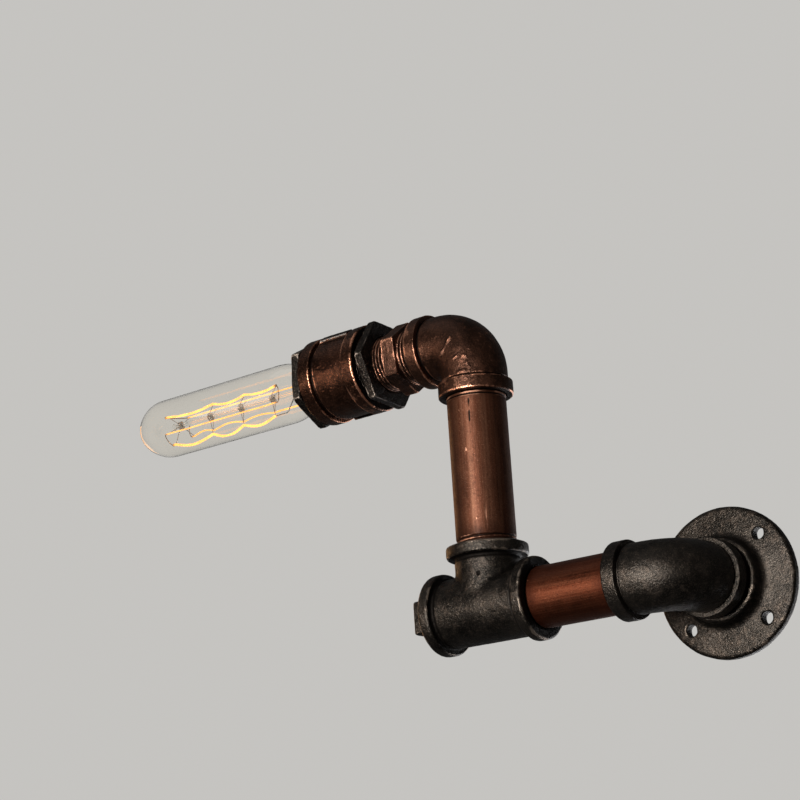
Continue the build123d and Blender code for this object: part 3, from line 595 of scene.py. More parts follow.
k = Nt("filament_glow")                    # yellow-hot along the wire, dull where a hook cools it
n1 = k.noise(120, 3, 0.5)
heat = k.math("MULTIPLY", k.ramp(n1, 0.35, 0.65, 0.85, 1.15), k.attr("lit"))
k.set(Metallic=0.6, Roughness=0.5, Base_Color=(0.30, 0.16, 0.06, 1.0), Emission_Color=(1.0, 0.41, 0.088, 1.0))
k.link(k.math("MULTIPLY", heat, 1.9), k.bsdf.inputs["Emission Strength"])
GLOW = k.done()

# ---------------------------------------------------------------------------
# head axis fittings
# ---------------------------------------------------------------------------
COUPLING = (68.6, 110.1)
REAR_HEX, REAR_HEX_R, REAR_TURN = (59.9, 65.2), 27.4, -0.46
FRONT_HEX, FRONT_HEX_R, FRONT_TURN = (110.15, 115.8), 27.7, 0.01
NIP_HEX, NIP_HEX_R, NIP_TURN = (42.4, 51.4), 21.34, -0.13
BUSH_R = 20.95


def six_sides(th, circum, turn):
    """Six-sided outline radius, corners at 30 + 60 k degrees plus the turn, corners slightly rounded."""
    flat = circum * math.cos(math.pi / 6)
    d = []
    for j in range(6):
        c = math.radians(60 * j) + turn
        d.append(np.cos(th - c) / flat)
    d = np.stack(d, 0)
    p = 95.0                                     # soft maximum of the six half-planes
    mx = d.max(0)
    return 1.0 / (mx * (np.exp(p * (d / mx - 1)) .sum(0)) ** (1.0 / p))


def hex_mod(s0, s1, circum, turn, r_in, corner_cut=0.955):
    """Turns the rows between s0 and s1 into a six-sided prism with turned-off corners."""
    def fn(r, s, th):
        R = six_sides(th, circum, turn)
        inside = (s >= s0 - 0.45) & (s <= s1 + 0.45) & (r > r_in)      # the slightly coned end faces too
        rr = r_in + (r - r_in) * (R - r_in) / (circum - r_in)
        depth = np.minimum(s - s0, s1 - s)
        cone = circum * corner_cut + np.maximum(depth, 0) * 1.25
        rr = np.where(rr > cone, cone + 0.12 * (rr - cone), rr)
        return np.where(inside, rr, r), s
    return fn


def thread_mod(s0, s1, crest, depth, pitch, fade=0.9, phase=0.0):
    """A true helical thread on the outside between s0 and s1."""
    def fn(r, s, th):
        t = (s / pitch - th / (2 * math.pi) + phase) % 1.0
        v = np.abs(2 * t - 1)                    # 1 at the crest, 0 at the root
        v = smooth01(v, 0.12, 0.88)
        on = smooth01(s, s0, s0 + fade) * (1 - smooth01(s, s1 - fade, s1))
        rr = crest - depth * (1 - v) * on
        zone = (s >= s0) & (s <= s1) & (np.abs(r - crest) < 0.05)
        return np.where(zone, rr, r), s
    return fn


def chain(*fns):
    def fn(r, s, th):
        for f in fns:
            r, s = f(r, s, th)
        return r, s
    return fn


# hexagon nipple
n0, n1_ = ELBOW_END - ENGAGE, REAR_HEX[0] + ENGAGE
CR = 16.62
prof = profile([(12.0, n0, 0.6, 4.0), (THREAD_R, n0, 0.9, 2.0), (THREAD_R, ELBOW_END - 0.4, 0, 0.3), (CR, ELBOW_END - 0.2, 0, 0.17),
                (CR, NIP_HEX[0] - 0.25, 0.12, 0.4), (NIP_HEX_R, NIP_HEX[0], 0.5, 0.4), (NIP_HEX_R, NIP_HEX[1], 0.5, 0.4),
                (CR, NIP_HEX[1] + 0.25, 0.12, 0.17), (CR, REAR_HEX[0] + 0.2, 0, 0.3), (THREAD_R, REAR_HEX[0] + 0.4, 0, 2.0),
                (THREAD_R, n1_, 0.9, 4.0), (12.0, n1_, 0.6, 4.0)])
mod = chain(thread_mod(ELBOW_END - 0.3, NIP_HEX[0] - 0.2, CR, 1.25, PITCH), thread_mod(NIP_HEX[1] + 0.2, REAR_HEX[0] + 0.3, CR, 1.25, PITCH),
            hex_mod(NIP_HEX[0] - 0.2, NIP_HEX[1] + 0.2, NIP_HEX_R, NIP_TURN, CR + 0.1))


def nipple_threads(co, no):
    r, st, th = local(AX_HEAD, co)
    shown = ((st > ELBOW_END - 0.2) & (st < NIP_HEX[0] - 0.3)) | ((st > NIP_HEX[1] + 0.3) & (st < REAR_HEX[0] + 0.2))
    return np.zeros(len(co)), np.where(shown, 0.30 * smooth01(r, CR - 0.30, CR - 0.02) - 0.12 * (1 - smooth01(r, CR - 1.2, CR - 0.5)), 0.0)


me = dress(mesh_from_grid("hex_nipple_cast", lathe(AX_HEAD, prof, 420, mod)), 0.9, 11,
           both(hex_marks(AX_HEAD, *NIP_HEX, NIP_HEX_R, NIP_TURN, 0.26, 0.05), nipple_threads))
piece("hex_nipple_cast", me, "head", "aged_bronze", BRONZE_HEX, "hex_nipple")

# rear bushing
prof = profile([(14.6, 82.0, 0, 3.0), (14.6, n1_, 0, 2.0), (SOCKET_R, n1_, 0, 3.0), (SOCKET_R, 60.8, 0, 0.4), (SOCKET_R + 1.0, 59.9, 0, 0.5),
                (REAR_HEX_R, 59.9, 0.7, 0.45), (REAR_HEX_R, 65.2, 0.7, 0.5), (BUSH_R, 65.5, 0.1, 0.2), (BUSH_R, 69.0, 0, 3.0), (BUSH_R, 82.0, 0.8, 2.0)])
mod = chain(thread_mod(65.4, 69.2, BUSH_R, 1.35, PITCH), hex_mod(59.9, 65.2, REAR_HEX_R, REAR_TURN, BUSH_R + 0.3))
me = dress(mesh_from_grid("rear_bushing_cast", lathe(AX_HEAD, prof, 420, mod)), 1.6, 23,
           hex_marks(AX_HEAD, *REAR_HEX, REAR_HEX_R, REAR_TURN, 0.15, 0.045))
piece("rear_bushing_cast", me, "head", "black_iron", IRON_HEX, "rear_bushing")

# ribbed socket
c0, c1 = COUPLING
cr, cf = c0 + 8.2, c1 - 8.7
prof = profile([(21.9, c0, 0, 0.6), (26.2, c0, 1.1, 0.45), (26.2, cr, 1.0, 0.4), (24.7, cr + 0.5, 0.8, 0.45), (24.7, cf - 2.2, 0.4, 0.3),
                (23.5, cf - 1.9, 0.25, 0.3), (23.5, cf - 0.3, 0.25, 0.3), (26.2, cf, 0.7, 0.45), (26.2, c1, 1.1, 0.6), (21.9, c1, 0, 0.6),
                (21.0, c1 - 0.9, 0, 4.0), (21.0, c0 + 0.9, 0, 0.6)])


def rib_mod(r, s, th):
    add = 0.0
    for ang in (55.0, -125.0):
        d = (th - math.radians(ang) + math.pi) % (2 * math.pi) - math.pi
        across = 1 - smooth01(np.abs(d) * 25.0, 3.0, 3.8)
        along = smooth01(s, cr - 0.4, cr + 0.6) * (1 - smooth01(s, cf - 3.4, cf - 2.5))
        add = add + across * along * 1.85
    outer = (r > 24.0) & (s > cr - 0.5) & (s < cf - 2.3)
    return np.where(outer, np.maximum(r, 24.7 + add), r), s




def coupling_marks(co, no):
    """Rubbed rims of the two bands, of the groove and of the ribs; a painted highlight along the rear band; the front
    band a little darker; painted shade in the groove and on the end faces.
    """
    r, st, th = local(AX_HEAD, co)
    out = r > 24.0
    line = 0.30 * ridge(st, cf + 0.25, 0.42) + 0.36 * ridge(st, cf - 2.55, 0.34) + 0.44 * ridge(st, cr - 0.45, 0.42) \
        + 0.26 * ridge(st, c0 + 0.55, 0.50) + 0.04 * ridge(st, c1 - 0.5, 0.4)
    # painted highlight along the rear band, speckled
    line = line + np.where((st > c0 + 1.0) & (st < cr - 0.8), 0.070 + 0.06 * fbm(co, 3.0, 2, 37), 0.0)
    line = line - np.where((st > cf + 1.0) & (st < c1 - 0.3), 0.060 + 0.03 * fbm(co, 6.0, 2, 39), 0.0)
    wear_and_painted_light = np.where(out, line, 0.0)
    for ang in (55.0, -125.0):
        d = ((th - math.radians(ang) + math.pi) % (2 * math.pi) - math.pi) * 26.0
        bare = (1.0 + 0.8 * smooth01(st, cf - 14.0, cf - 4.0)) * np.clip(0.95 + 1.2 * fbm(co, 2.6, 2, 43), 0.15, 1.4)
        side = np.where(d < 0, bare, 0.10)                    # the rib's lower edge is rubbed to bare metal, most towards the mouth
        wear_and_painted_light = wear_and_painted_light + np.where((r > 25.6) & (st > cr + 0.6) & (st < cf - 2.9), side * ridge(np.abs(d), 3.1, 0.40) - 0.30 * (np.abs(d) < 2.4), 0.0)
        wall = (r > 24.85) & (r < 25.95) & (np.abs(d) > 2.8) & (np.abs(d) < 4.3) & (st > cr + 0.6) & (st < cf - 5.4)
        wear_and_painted_light = wear_and_painted_light - np.where(wall, 0.45, 0.0)               # below that edge its side is dark
    # painted shade in the groove
    wear_and_painted_light = wear_and_painted_light - np.where((st > cf - 2.0) & (st < cf - 0.3) & (r < 24.6) & (r > 22), 0.30, 0.0)
    face = np.abs(no @ AX_HEAD[3])
    # painted shade on the end faces
    wear_and_painted_light = wear_and_painted_light - np.where((face > 0.9) & (r < 25.3) & ((st < c0 + 0.2) | (st > c1 - 0.2)), 0.3, 0.0)
    return np.zeros(len(co)), wear_and_painted_light


me = dress(mesh_from_grid("coupling_cast", lathe(AX_HEAD, prof, 460, rib_mod)), 1.1, 31, coupling_marks)
piece("coupling_cast", me, "head", "aged_bronze", BRONZE, "coupling")

# mouth bushing
prof = profile([(15.9, 95.8, 0, 3.0), (20.95, 95.8, 0.8, 3.0), (20.95, 110.1, 0.1, 0.6), (FRONT_HEX_R, 110.15, 0.7, 0.45), (FRONT_HEX_R, 115.8, 0.7, 0.5),
                (17.2, 115.8, 0.3, 0.4), (15.9, 114.6, 0.3, 2.0)])
me = dress(mesh_from_grid("front_bushing_cast", lathe(AX_HEAD, prof, 420, hex_mod(110.15, 115.8, FRONT_HEX_R, FRONT_TURN, 21.3))), 1.6, 41,
           hex_marks(AX_HEAD, *FRONT_HEX, FRONT_HEX_R, FRONT_TURN, 0.20, 0.03))
piece("front_bushing_cast", me, "head", "black_iron", IRON_HEX, "front_bushing")


# ---------------------------------------------------------------------------
# elbows
# ---------------------------------------------------------------------------
def elbow_grid(centre, dir_a, dir_b, m=300):
    """Compact screwed elbow: legs along dir_a and dir_b, a flat band at each mouth behind a sunk line."""
    a, ce = ELBOW_BEND, ELBOW_END
    arc = a * math.pi / 2
    leg = ce - a
    total = 2 * leg + arc
    cw = ELBOW_COLLAR_W
    R, B = ELBOW_COLLAR_R, ELBOW_BODY_R
    pts = [(SOCKET_R + 1.0, 0, 0.2, 0.5), (R, 0, 1.0, 0.45), (R, cw, 0.6, 0.3), (B - 0.95, cw + 0.22, 0.25, 0.3), (B - 0.95, cw + 0.85, 0.25, 0.3),
           (B, cw + 1.45, 0.8, 0.55)]
    end = [(r, total - s, f, st) for r, s, f, st in pts[::-1]]
    inner = [(SOCKET_R, total - 0.9, 0.2, 3.0), (SOCKET_R, total - ENGAGE, 0, 1.2), (WATERWAY_R, total - ENGAGE, 0, 2.4),
             (WATERWAY_R, ENGAGE, 0, 1.2), (SOCKET_R, ENGAGE, 0, 3.0), (SOCKET_R, 0.9, 0.2, 0.5)]
    # spacing belongs to the run after a point, so shift it along the mirrored half
    fixed = []
    for i, (r, s, f, st) in enumerate(end):
        fixed.append((r, s, f, pts[len(pts) - 2 - i][3] if len(pts) - 2 - i >= 0 else 0.5))
    prof = profile(pts + fixed + inner)
    th = np.linspace(0, 2 * math.pi, m, endpoint=False)
    da, db = np.array(dir_a, float), np.array(dir_b, float)
    bi = np.cross(da, db)
    out = np.empty((len(prof), m, 3))
    mid = centre + (da + db) * a
    for i, (r, u) in enumerate(prof):
        if u <= leg:
            o, t = centre + da * (ce - u), -da
        elif u >= leg + arc:
            o, t = centre + db * (a + u - leg - arc), db
        else:
            w = (u - leg) / a
            o = mid - db * a * math.cos(w) - da * a * math.sin(w)
            t = -da * math.cos(w) + db * math.sin(w)
        nrm = np.cross(t, bi)
        out[i] = o + r * (np.cos(th)[:, None] * bi + np.sin(th)[:, None] * nrm)
    return out


def band_marks(centre, dirs, seed):
    """Rubbed, speckled bands at an elbow's mouths; painted shade in the sunk line behind each band and on the mouth
    face; a painted highlight on the body's shoulder just beyond that line.
    """
    def fn(co, no):
        wear_and_painted_light = np.zeros(len(co))
        for d in dirs:
            d = np.array(d, float)
            q = co - centre
            st = q @ d
            r = np.linalg.norm(q - st[:, None] * d, axis=1)
            on = (st > ELBOW_END - 12.0) & (st < ELBOW_END + 1.0) & (r < ELBOW_COLLAR_R + 2)
            u = ELBOW_END - st
            cw = ELBOW_COLLAR_W
            w = 0.32 * ridge(u, 0.60, 0.58) + 0.30 * ridge(u, cw - 0.45, 0.44)
            w = w + np.where((u > 0.6) & (u < cw - 0.4), 0.065 + 0.07 * fbm(co, 5.0, 2, seed), 0.0)
            w = np.where(r > ELBOW_BODY_R + 0.3, w, 0.0)
            # painted shade in the sunk line behind the band
            w = w - np.where((u > cw + 0.05) & (u < cw + 0.95) & (r < ELBOW_BODY_R - 0.4) & (r > 17.2), 0.35, 0.0)
            # painted shade on the mouth face
            w = w - np.where((u < 0.3) & (r < ELBOW_COLLAR_R - 0.8), 0.45, 0.0)
            # painted highlight on the body's rounded shoulder next to the sunk line
            w = w + 0.12 * ridge(u, cw + 1.9, 0.6) * (r > ELBOW_BODY_R - 0.5)
            wear_and_painted_light = wear_and_painted_light + np.where(on, w, 0.0)
        return np.zeros(len(co)), wear_and_painted_light
    return fn


def elbow_marks(co, no):
    """A short raised bar and a few wrinkles left by the mould on the front of the head elbow, most of them brightened
    along their length with painted highlights.
    """
    add = np.zeros(len(co))
    wear_and_painted_light = np.zeros(len(co))

    def bar(p, q, w, h, rub_and_highlight):
        nonlocal add, wear_and_painted_light
        p, q = np.array(p), np.array(q)
        d = q - p
        t = np.clip(((co - p) @ d) / (d @ d), 0, 1)
        dist = np.linalg.norm(co - (p + t[:, None] * d), axis=1)
        g = 1 - smooth01(dist, w * 0.45, w)
        add = add + h * g
        wear_and_painted_light = wear_and_painted_light + rub_and_highlight * g

    for p, q, w, h, rub_and_highlight in MARKS:
        bar(p, q, w, h, rub_and_highlight)
    return add, wear_and_painted_light


def surface_point(u, v, R):
    """Where the camera's ray through a pixel of the 800 px frame meets the head elbow's skin, in mm."""
    d = (u - 400) / 2000.0 * CAM_R + (400 - v) / 2000.0 * CAM_U - CAM_B
    d = d / np.linalg.norm(d)
    best = None
    for t in np.linspace(900, 1300, 4001):
        q = CAM_P + d * t
        l = q - HEAD_C
        a = ELBOW_BEND
        x, z = -l[0], -l[2]                       # along the head leg and down the riser leg
        if x > a:
            dist = math.hypot(l[1], l[2])
        elif z > a:
            dist = math.hypot(l[0], l[1])
        else:
            ring = math.hypot(x - a, z - a) - a
            dist = math.hypot(ring, l[1])
        if dist <= R:
            best = q
            break
    return best


CAM_R = np.array((0.78486818, 0.61685996, -0.0588705))
CAM_U = np.array((0.21910938, -0.18740313, 0.95753389))
CAM_B = np.array((0.5796318, -0.76443696, -0.28224656))
CAM_P = np.array((491.900, -930.682, -192.249))

MARKS = []
# the last number of each mark is the strength of the painted highlight along it
for u0, v0, u1, v1, w, h, rub_and_highlight in ((451, 336, 441.7, 354.5, 1.05, 0.90, 0.13), (454, 358, 457, 355, 0.8, 0.30, 0.10),
                                  (463, 354.5, 467, 354.8, 0.8, 0.30, 0.10), (467.5, 361, 471, 366, 1.0, 0.12, 0.06),
                                  (459, 372, 466, 369.5, 1.3, 0.22, 0.12), (470, 347.5, 474, 343, 0.9, 0.15, 0.0)):
    p0, p1 = surface_point(u0, v0, ELBOW_BODY_R), surface_point(u1, v1, ELBOW_BODY_R)
    if p0 is not None and p1 is not None:
        MARKS.append((p0, p1, w, h, rub_and_highlight))

me = dress(mesh_from_grid("head_elbow_cast", elbow_grid(HEAD_C, (0, 0, -1), (-1, 0, 0))), 0.75, 51,
           band_marks(HEAD_C, ((0, 0, -1), (-1, 0, 0)), 55), marks=elbow_marks)
piece("head_elbow_cast", me, "head", "aged_bronze", BRONZE_SOFT, "head_elbow")
me = dress(mesh_from_grid("wall_elbow_cast", elbow_grid(WALL_C, (0, 1, 0), (-1, 0, 0))), 0.9, 61)
piece("wall_elbow_cast", me, "arm", "black_iron", IRON, "wall_elbow")

# ---------------------------------------------------------------------------
# pipes
# ---------------------------------------------------------------------------
ris0, ris1 = TEE_END - ENGAGE, RISE - ELBOW_END + ENGAGE - 0.3
top = RISE - ELBOW_END
prof = profile([(PIPE_BORE_R, ris0, 0.5, 6.0), (THREAD_R, ris0, 0.8, 3.0), (THREAD_R, TEE_END - 0.6, 0, 0.3), (PIPE_R - 0.12, TEE_END - 0.3, 0, 0.2),
                (PIPE_R - 0.12, TEE_END + 4.2, 0, 0.3), (PIPE_R, TEE_END + 4.7, 0.2, 0.9), (PIPE_R, top - 2.5, 0.2, 0.3), (PIPE_R - 0.45, top - 2.2, 0.1, 0.3),
                (PIPE_R - 0.45, top - 1.75, 0.1, 0.3), (PIPE_R + 0.05, top - 1.5, 0.15, 0.3), (PIPE_R + 0.05, top - 0.5, 0.15, 0.3), (THREAD_R, top - 0.2, 0, 3.0),
                (THREAD_R, ris1, 0.8, 3.0), (PIPE_BORE_R, ris1, 0.5, 6.0)])


def riser_point(u, v):
    """Where the camera's ray through a pixel of the 800 px frame meets the riser."""
    d = (u - 400) / 2000.0 * CAM_R + (400 - v) / 2000.0 * CAM_U - CAM_B
    o = CAM_P - TEE_C
    a, b, c = d[0] ** 2 + d[1] ** 2, o[0] * d[0] + o[1] * d[1], o[0] ** 2 + o[1] ** 2 - PIPE_R ** 2
    t = (-b - math.sqrt(b * b - a * c)) / a
    return o + d * t + TEE_C


SEAM_A, SEAM_B = riser_point(469.6, 398), riser_point(471.2, 428)
SCRATCH = (riser_point(487, 505), riser_point(488.5, 531))
SPECKS = [(riser_point(u, v), w) for u, v, w in ((467, 450, 0.85), (466, 453, 0.5), (494, 503, 0.6), (478, 520, 0.4), (460, 410, 0.5), (481, 437, 0.35))]


def riser_marks(co, no):
    """Broken weld line under the elbow, one scratch, a few specks of paint, and the ring at the pipe's top with
    painted shade in its groove.
    """
    add, wear_and_painted_light = np.zeros(len(co)), np.zeros(len(co))

    def dist(p, q):
        d = q - p
        t = np.clip(((co - p) @ d) / (d @ d), 0, 1)
        return np.linalg.norm(co - (p + t[:, None] * d), axis=1)

    g = 1 - smooth01(dist(SEAM_A, SEAM_B), 0.22, 0.60)
    g = g * smooth01(noise3(co * np.array((0.2, 0.2, 1.0)), 2.6, 7), -0.35, 0.15)
    add, wear_and_painted_light = add - 0.13 * g, wear_and_painted_light - 0.40 * g
    g = 1 - smooth01(dist(*SCRATCH), 0.18, 0.50)
    add, wear_and_painted_light = add - 0.06 * g, wear_and_painted_light + 0.16 * g
    for p, w in SPECKS:
        g = 1 - smooth01(np.linalg.norm(co - p, axis=1), 0.5 * w, w)
        add, wear_and_painted_light = add + 0.10 * g, wear_and_painted_light + 0.35 * g
    r, st, th = local(AX_RISER, co)
    out = r > PIPE_R - 0.6
    # rubbed lines either side of the ring, painted shade in its groove
    wear_and_painted_light = wear_and_painted_light + np.where(out, 0.22 * ridge(st, top - 1.0, 0.5) + 0.12 * ridge(st, top - 2.75, 0.35) - 0.40 * ridge(st, top - 1.97, 0.30), 0.0)
    crest = (st > TEE_END - 0.4) & (st < TEE_END + 4.5) & out
    grit = fbm(co, 1.3, 2, 77)
    wear_and_painted_light = wear_and_painted_light + np.where(crest, (0.12 + 0.30 * grit) * smooth01(r, PIPE_R - 0.40, PIPE_R - 0.12) - 0.2 * (1 - smooth01(r, PIPE_R - 0.75, PIPE_R - 0.4)), 0.0)
    add = add + np.where(crest, 0.16 * grit, 0.0)
    return add, wear_and_painted_light


mod = thread_mod(TEE_END - 0.4, TEE_END + 4.4, PIPE_R - 0.12, 0.75, PITCH, 0.7)
me = dress(mesh_from_grid("riser_pipe_drawn", lathe(AX_RISER, prof, 400, mod)), 0.16, 71, riser_marks)
piece("riser_pipe_drawn", me, "arm", "copper_pipe", RISER, "riser_pipe")

run0, run1 = TEE_END - ENGAGE, RUN - ELBOW_END + ENGAGE
e1 = RUN - ELBOW_END
prof = profile([(PIPE_BORE_R, run0, 0.5, 6.0), (THREAD_R, run0, 0.8, 3.0), (THREAD_R, TEE_END + 0.1, 0, 0.3), (PIPE_R, TEE_END + 0.8, 0.3, 0.8),
                (PIPE_R, e1 - 0.8, 0.3, 0.3), (THREAD_R, e1 - 0.1, 0, 3.0), (THREAD_R, run1, 0.8, 3.0), (PIPE_BORE_R, run1, 0.5, 6.0)])
me = dress(mesh_from_grid("run_pipe_drawn", lathe(AX_RUN, prof, 280)), 0.16, 81)
piece("run_pipe_drawn", me, "arm", "red_copper_pipe", RUNP, "run_pipe")

w0, w1 = 5.0, PROJ - ELBOW_END + ENGAGE
prof = profile([(PIPE_BORE_R, w0, 0.5, 4.0), (THREAD_R, w0, 0.8, 2.0), (THREAD_R, 15.6, 0, 0.2), (PIPE_R - 0.1, 15.8, 0, 0.2), (PIPE_R - 0.1, 21.0, 0, 0.2),
                (THREAD_R, 21.2, 0, 2.0), (THREAD_R, w1, 0.8, 2.0), (PIPE_BORE_R, w1, 0.5, 4.0)])
me = dress(mesh_from_grid("wall_nipple_threaded", lathe(AX_WALL, prof, 240, thread_mod(15.7, 21.1, PIPE_R - 0.1, 1.1, PITCH, 0.5))), 0.3, 91)
piece("wall_nipple_threaded", me, "arm", "red_copper_pipe", WALLP, "wall_nipple")

# ---------------------------------------------------------------------------
# tee, plug and wall flange: the construction's shapes with a cast skin
# ---------------------------------------------------------------------------


def relax_crotch(me, times):
    """Softens only the corner between the tee's run and its branch."""
    co, e = coords(me), neighbours(me)
    count = np.maximum(np.bincount(e.ravel(), minlength=len(co)), 1).astype(float)
    q = co - TEE_C
    run_r = np.hypot(q[:, 1], q[:, 2])
    w = smooth01(q[:, 2], 4.0, 9.0) * (1 - smooth01(q[:, 2], 22.0, 25.0)) * (1 - smooth01(np.abs(q[:, 0]), 22.5, 25.5)) * (run_r > 17.2)
    soft = co.copy()
    for _ in range(times):
        acc = np.stack([np.bincount(e[:, 0], soft[e[:, 1], k], len(co)) + np.bincount(e[:, 1], soft[e[:, 0], k], len(co)) for k in range(3)], 1)
        soft = soft + w[:, None] * 0.5 * (acc / count[:, None] - soft)
    me.vertices.foreach_set("co", (soft * 1e-3).ravel())
    me.update()
    return me


TEE_COLLAR_R, TEE_COLLAR_W, TEE_BODY_R = 22.97, 7.2, 19.4


def tee_marks(co, no):
    """Painted shade in the corner behind each band, which is also cut a little deeper, and on the mouths; rubbed band
    rims; one pit in the branch.
    """
    add, wear_and_painted_light = np.zeros(len(co)), np.zeros(len(co))
    for d in ((0, 0, 1), (1, 0, 0), (-1, 0, 0)):
        d = np.array(d, float)
        q = co - TEE_C
        st = q @ d
        r = np.linalg.norm(q - st[:, None] * d, axis=1)
        u = TEE_END - st
        on = (u < TEE_COLLAR_W + 3) & (u > -1)
        w = 0.10 * ridge(u, 0.7, 0.6) + 0.10 * ridge(u, TEE_COLLAR_W - 0.6, 0.6)
        w = np.where(r > TEE_COLLAR_R - 1.2, w, 0.0)
        # painted shade under each band's overhang
        nook = np.where(r < TEE_COLLAR_R - 1.2, ridge(u, TEE_COLLAR_W + 0.35, 0.85), 0.0)
        w = w - 1.1 * nook
        add = add - np.where(on, 0.85 * nook, 0.0)
        # painted shade on the mouth faces
        w = w - np.where((u < 0.35) & (r < TEE_COLLAR_R - 1.6), 0.30, 0.0)
        wear_and_painted_light = wear_and_painted_light + np.where(on, w, 0.0)
    g = 1 - smooth01(np.linalg.norm(co - PIT, axis=1), 0.6, 1.25)
    return add - 0.7 * g, wear_and_painted_light - 1.2 * g


def branch_point(u, v):
    d = (u - 400) / 2000.0 * CAM_R + (400 - v) / 2000.0 * CAM_U - CAM_B
    o = CAM_P - TEE_C
    a, b, c = d[0] ** 2 + d[1] ** 2, o[0] * d[0] + o[1] * d[1], o[0] ** 2 + o[1] ** 2 - 18.5 ** 2
    return o + d * (-b - math.sqrt(b * b - a * c)) / a + TEE_C


PIT = branch_point(479.5, 576)
me = dress(relax_crotch(mesh_from_node("tee_cast", "tee", 0.56, 3), 36), 1.0, 101, tee_marks, wear_iters=12)
piece("tee_cast", me, "arm", "black_iron", IRON, "tee")
me = dress(mesh_from_node("tee_plug_cast", "tee_plug", 0.5, 6), 1.0, 111, wear_iters=10)
piece("tee_plug_cast", me, "arm", "black_iron", IRON, "tee_plug")
me = dress(mesh_from_node("wall_flange_cast", "wall_flange", 0.62, 5), 0.9, 121, wear_iters=10)
piece("wall_flange_cast", me, "arm", "black_iron", IRON, "wall_flange")

# ---------------------------------------------------------------------------
# filament: one wire up and down the cage, sagging between the wire spiders
# ---------------------------------------------------------------------------
STRANDS = (-45.3, -84.7, -135.1, 117.1, 94.8, 56.5)
SAG = (3.1, 0.15, 1.9, 0.1, 0.1, -1.75)            # how far each strand hangs between its hooks
THICK = (0.74, 0.42, 0.70, 0.42, 0.42, 0.50)
NEAR = (145.2, 138.5, 138.8, 138.0, 139.0, 138.0)
LEAN = (-6.3, -9.0, -12.7, 3.0, 5.5, 8.9)          # how far the hooks lean along the lamp
CAGE_R, CAGE_DROP = 12.5, 2.0
HOOKS = (152.0, 178.0, 204.0, 230.0)
E_DN, E_SD = (-0.346, -0.938), (0.938, -0.346)


def cage(angle, r):
    t = math.radians(angle)
    return (E_DN[0] * r * math.cos(t) - E_SD[0] * r * math.sin(t), E_DN[1] * r * math.cos(t) - E_SD[1] * r * math.sin(t) - CAGE_DROP)


def strand(i):
    f, u = cage(STRANDS[i], CAGE_R)
    s = np.arange(NEAR[i], 233.0, 0.8)
    hang = np.zeros(len(s))
    h = [v + LEAN[i] for v in HOOKS[:3]] + [HOOKS[3]]
    for a, b, k in ((h[0], h[1], 0.9), (h[1], h[2], 1.15), (h[2], h[3], 0.95)):
        t = np.clip((s - a) / (b - a), 0, 1)
        hang += SAG[i] * k * np.sin(math.pi * t)
    lead = np.clip((h[0] - s) / (h[0] - 137.0), 0, 1)      # short first span before the first hook
    hang += SAG[i] * 0.25 * np.sin(math.pi * lead)
    lat = 0.12 * np.sin(s * 0.31 + i * 1.7)
    pts = np.stack((np.full(len(s), f) + lat, np.full(len(s), u) - hang, s), 1)
    return pts


def hairpin(a, b, out):
    """Half loop between the ends of two strands."""
    t = np.linspace(0, 1, 14)[1:-1]
    d = b - a
    bulge = np.zeros((len(t), 3))
    bulge[:, 2] = np.sin(math.pi * t) * out
    return a + d * (0.5 - 0.5 * np.cos(math.pi * t))[:, None] + bulge


f, u = cage(STRANDS[0], CAGE_R)
s = np.arange(139.0, NEAR[0] - 0.5, 0.8)                       # cold tail from the lead-in wire to the first strand
route, radius, hot = [np.stack((np.full(len(s), f), np.full(len(s), u), s), 1)], [np.full(len(s), 0.24)], [np.zeros(len(s))]
for i in range(6):
    p = strand(i)
    if i % 2:
        p = p[::-1]
    if i:
        a, b = route[-1][-1], p[0]
        hp = hairpin(a, b, 1.6 if i % 2 else -1.6)
        route.append(hp)
        radius.append(np.full(len(hp), 0.24))
        hot.append(np.zeros(len(hp)))
    route.append(p)
    radius.append(np.full(len(p), THICK[i]))
    glow = np.full(len(p), 1.2 if THICK[i] > 0.6 else 0.95)
    if i < 5:
        glow[-4:] *= np.linspace(1, 0, 4)           # the hooks cool the wire at each turn
    if i > 0:
        glow[:4] *= np.linspace(0, 1, 4)
    hot.append(glow)
route, radius, hot = np.concatenate(route), np.concatenate(radius), np.concatenate(hot)
coil = 1.0 + 0.10 * np.sin(np.arange(len(route)) * 2.1)        # the wire is a fine coil itself
radius = radius * coil


def tube(name, pts, rad, heat, sides=10):
    tan = np.gradient(pts, axis=0)
    tan /= np.linalg.norm(tan, axis=1)[:, None]
    ref = np.array((1.0, 0.3, 0.1))
    rings = []
    up = np.cross(tan[0], ref)
    for i in range(len(pts)):
        up = up - tan[i] * (up @ tan[i])
        up /= np.linalg.norm(up)
        side = np.cross(tan[i], up)
        th = np.linspace(0, 2 * math.pi, sides, endpoint=False)
        rings.append(pts[i] + rad[i] * (np.cos(th)[:, None] * up + np.sin(th)[:, None] * side))
    P = np.concatenate(rings)
    n = len(pts)
    faces = []
    for i in range(n - 1):
        for j in range(sides):
            k2 = (j + 1) % sides
            faces.append((i * sides + j, i * sides + k2, (i + 1) * sides + k2, (i + 1) * sides + j))
    faces.append(tuple(range(sides - 1, -1, -1)))
    faces.append(tuple((n - 1) * sides + j for j in range(sides)))
    me = bpy.data.meshes.new(name)
    me.from_pydata((P * 1e-3).tolist(), [], faces)
    me.polygons.foreach_set("use_smooth", np.ones(len(me.polygons), bool))
    at = me.attributes.new("lit", "FLOAT", "POINT")
    at.data.foreach_set("value", np.repeat(heat, sides).astype(np.float32))
    me.update()
    return me


world = place(AX_HEAD, route[:, 0], route[:, 1], route[:, 2])
piece("filament_wire", tube("filament_wire", world, radius, hot), "bulb", "filament_glow", GLOW, "filament")

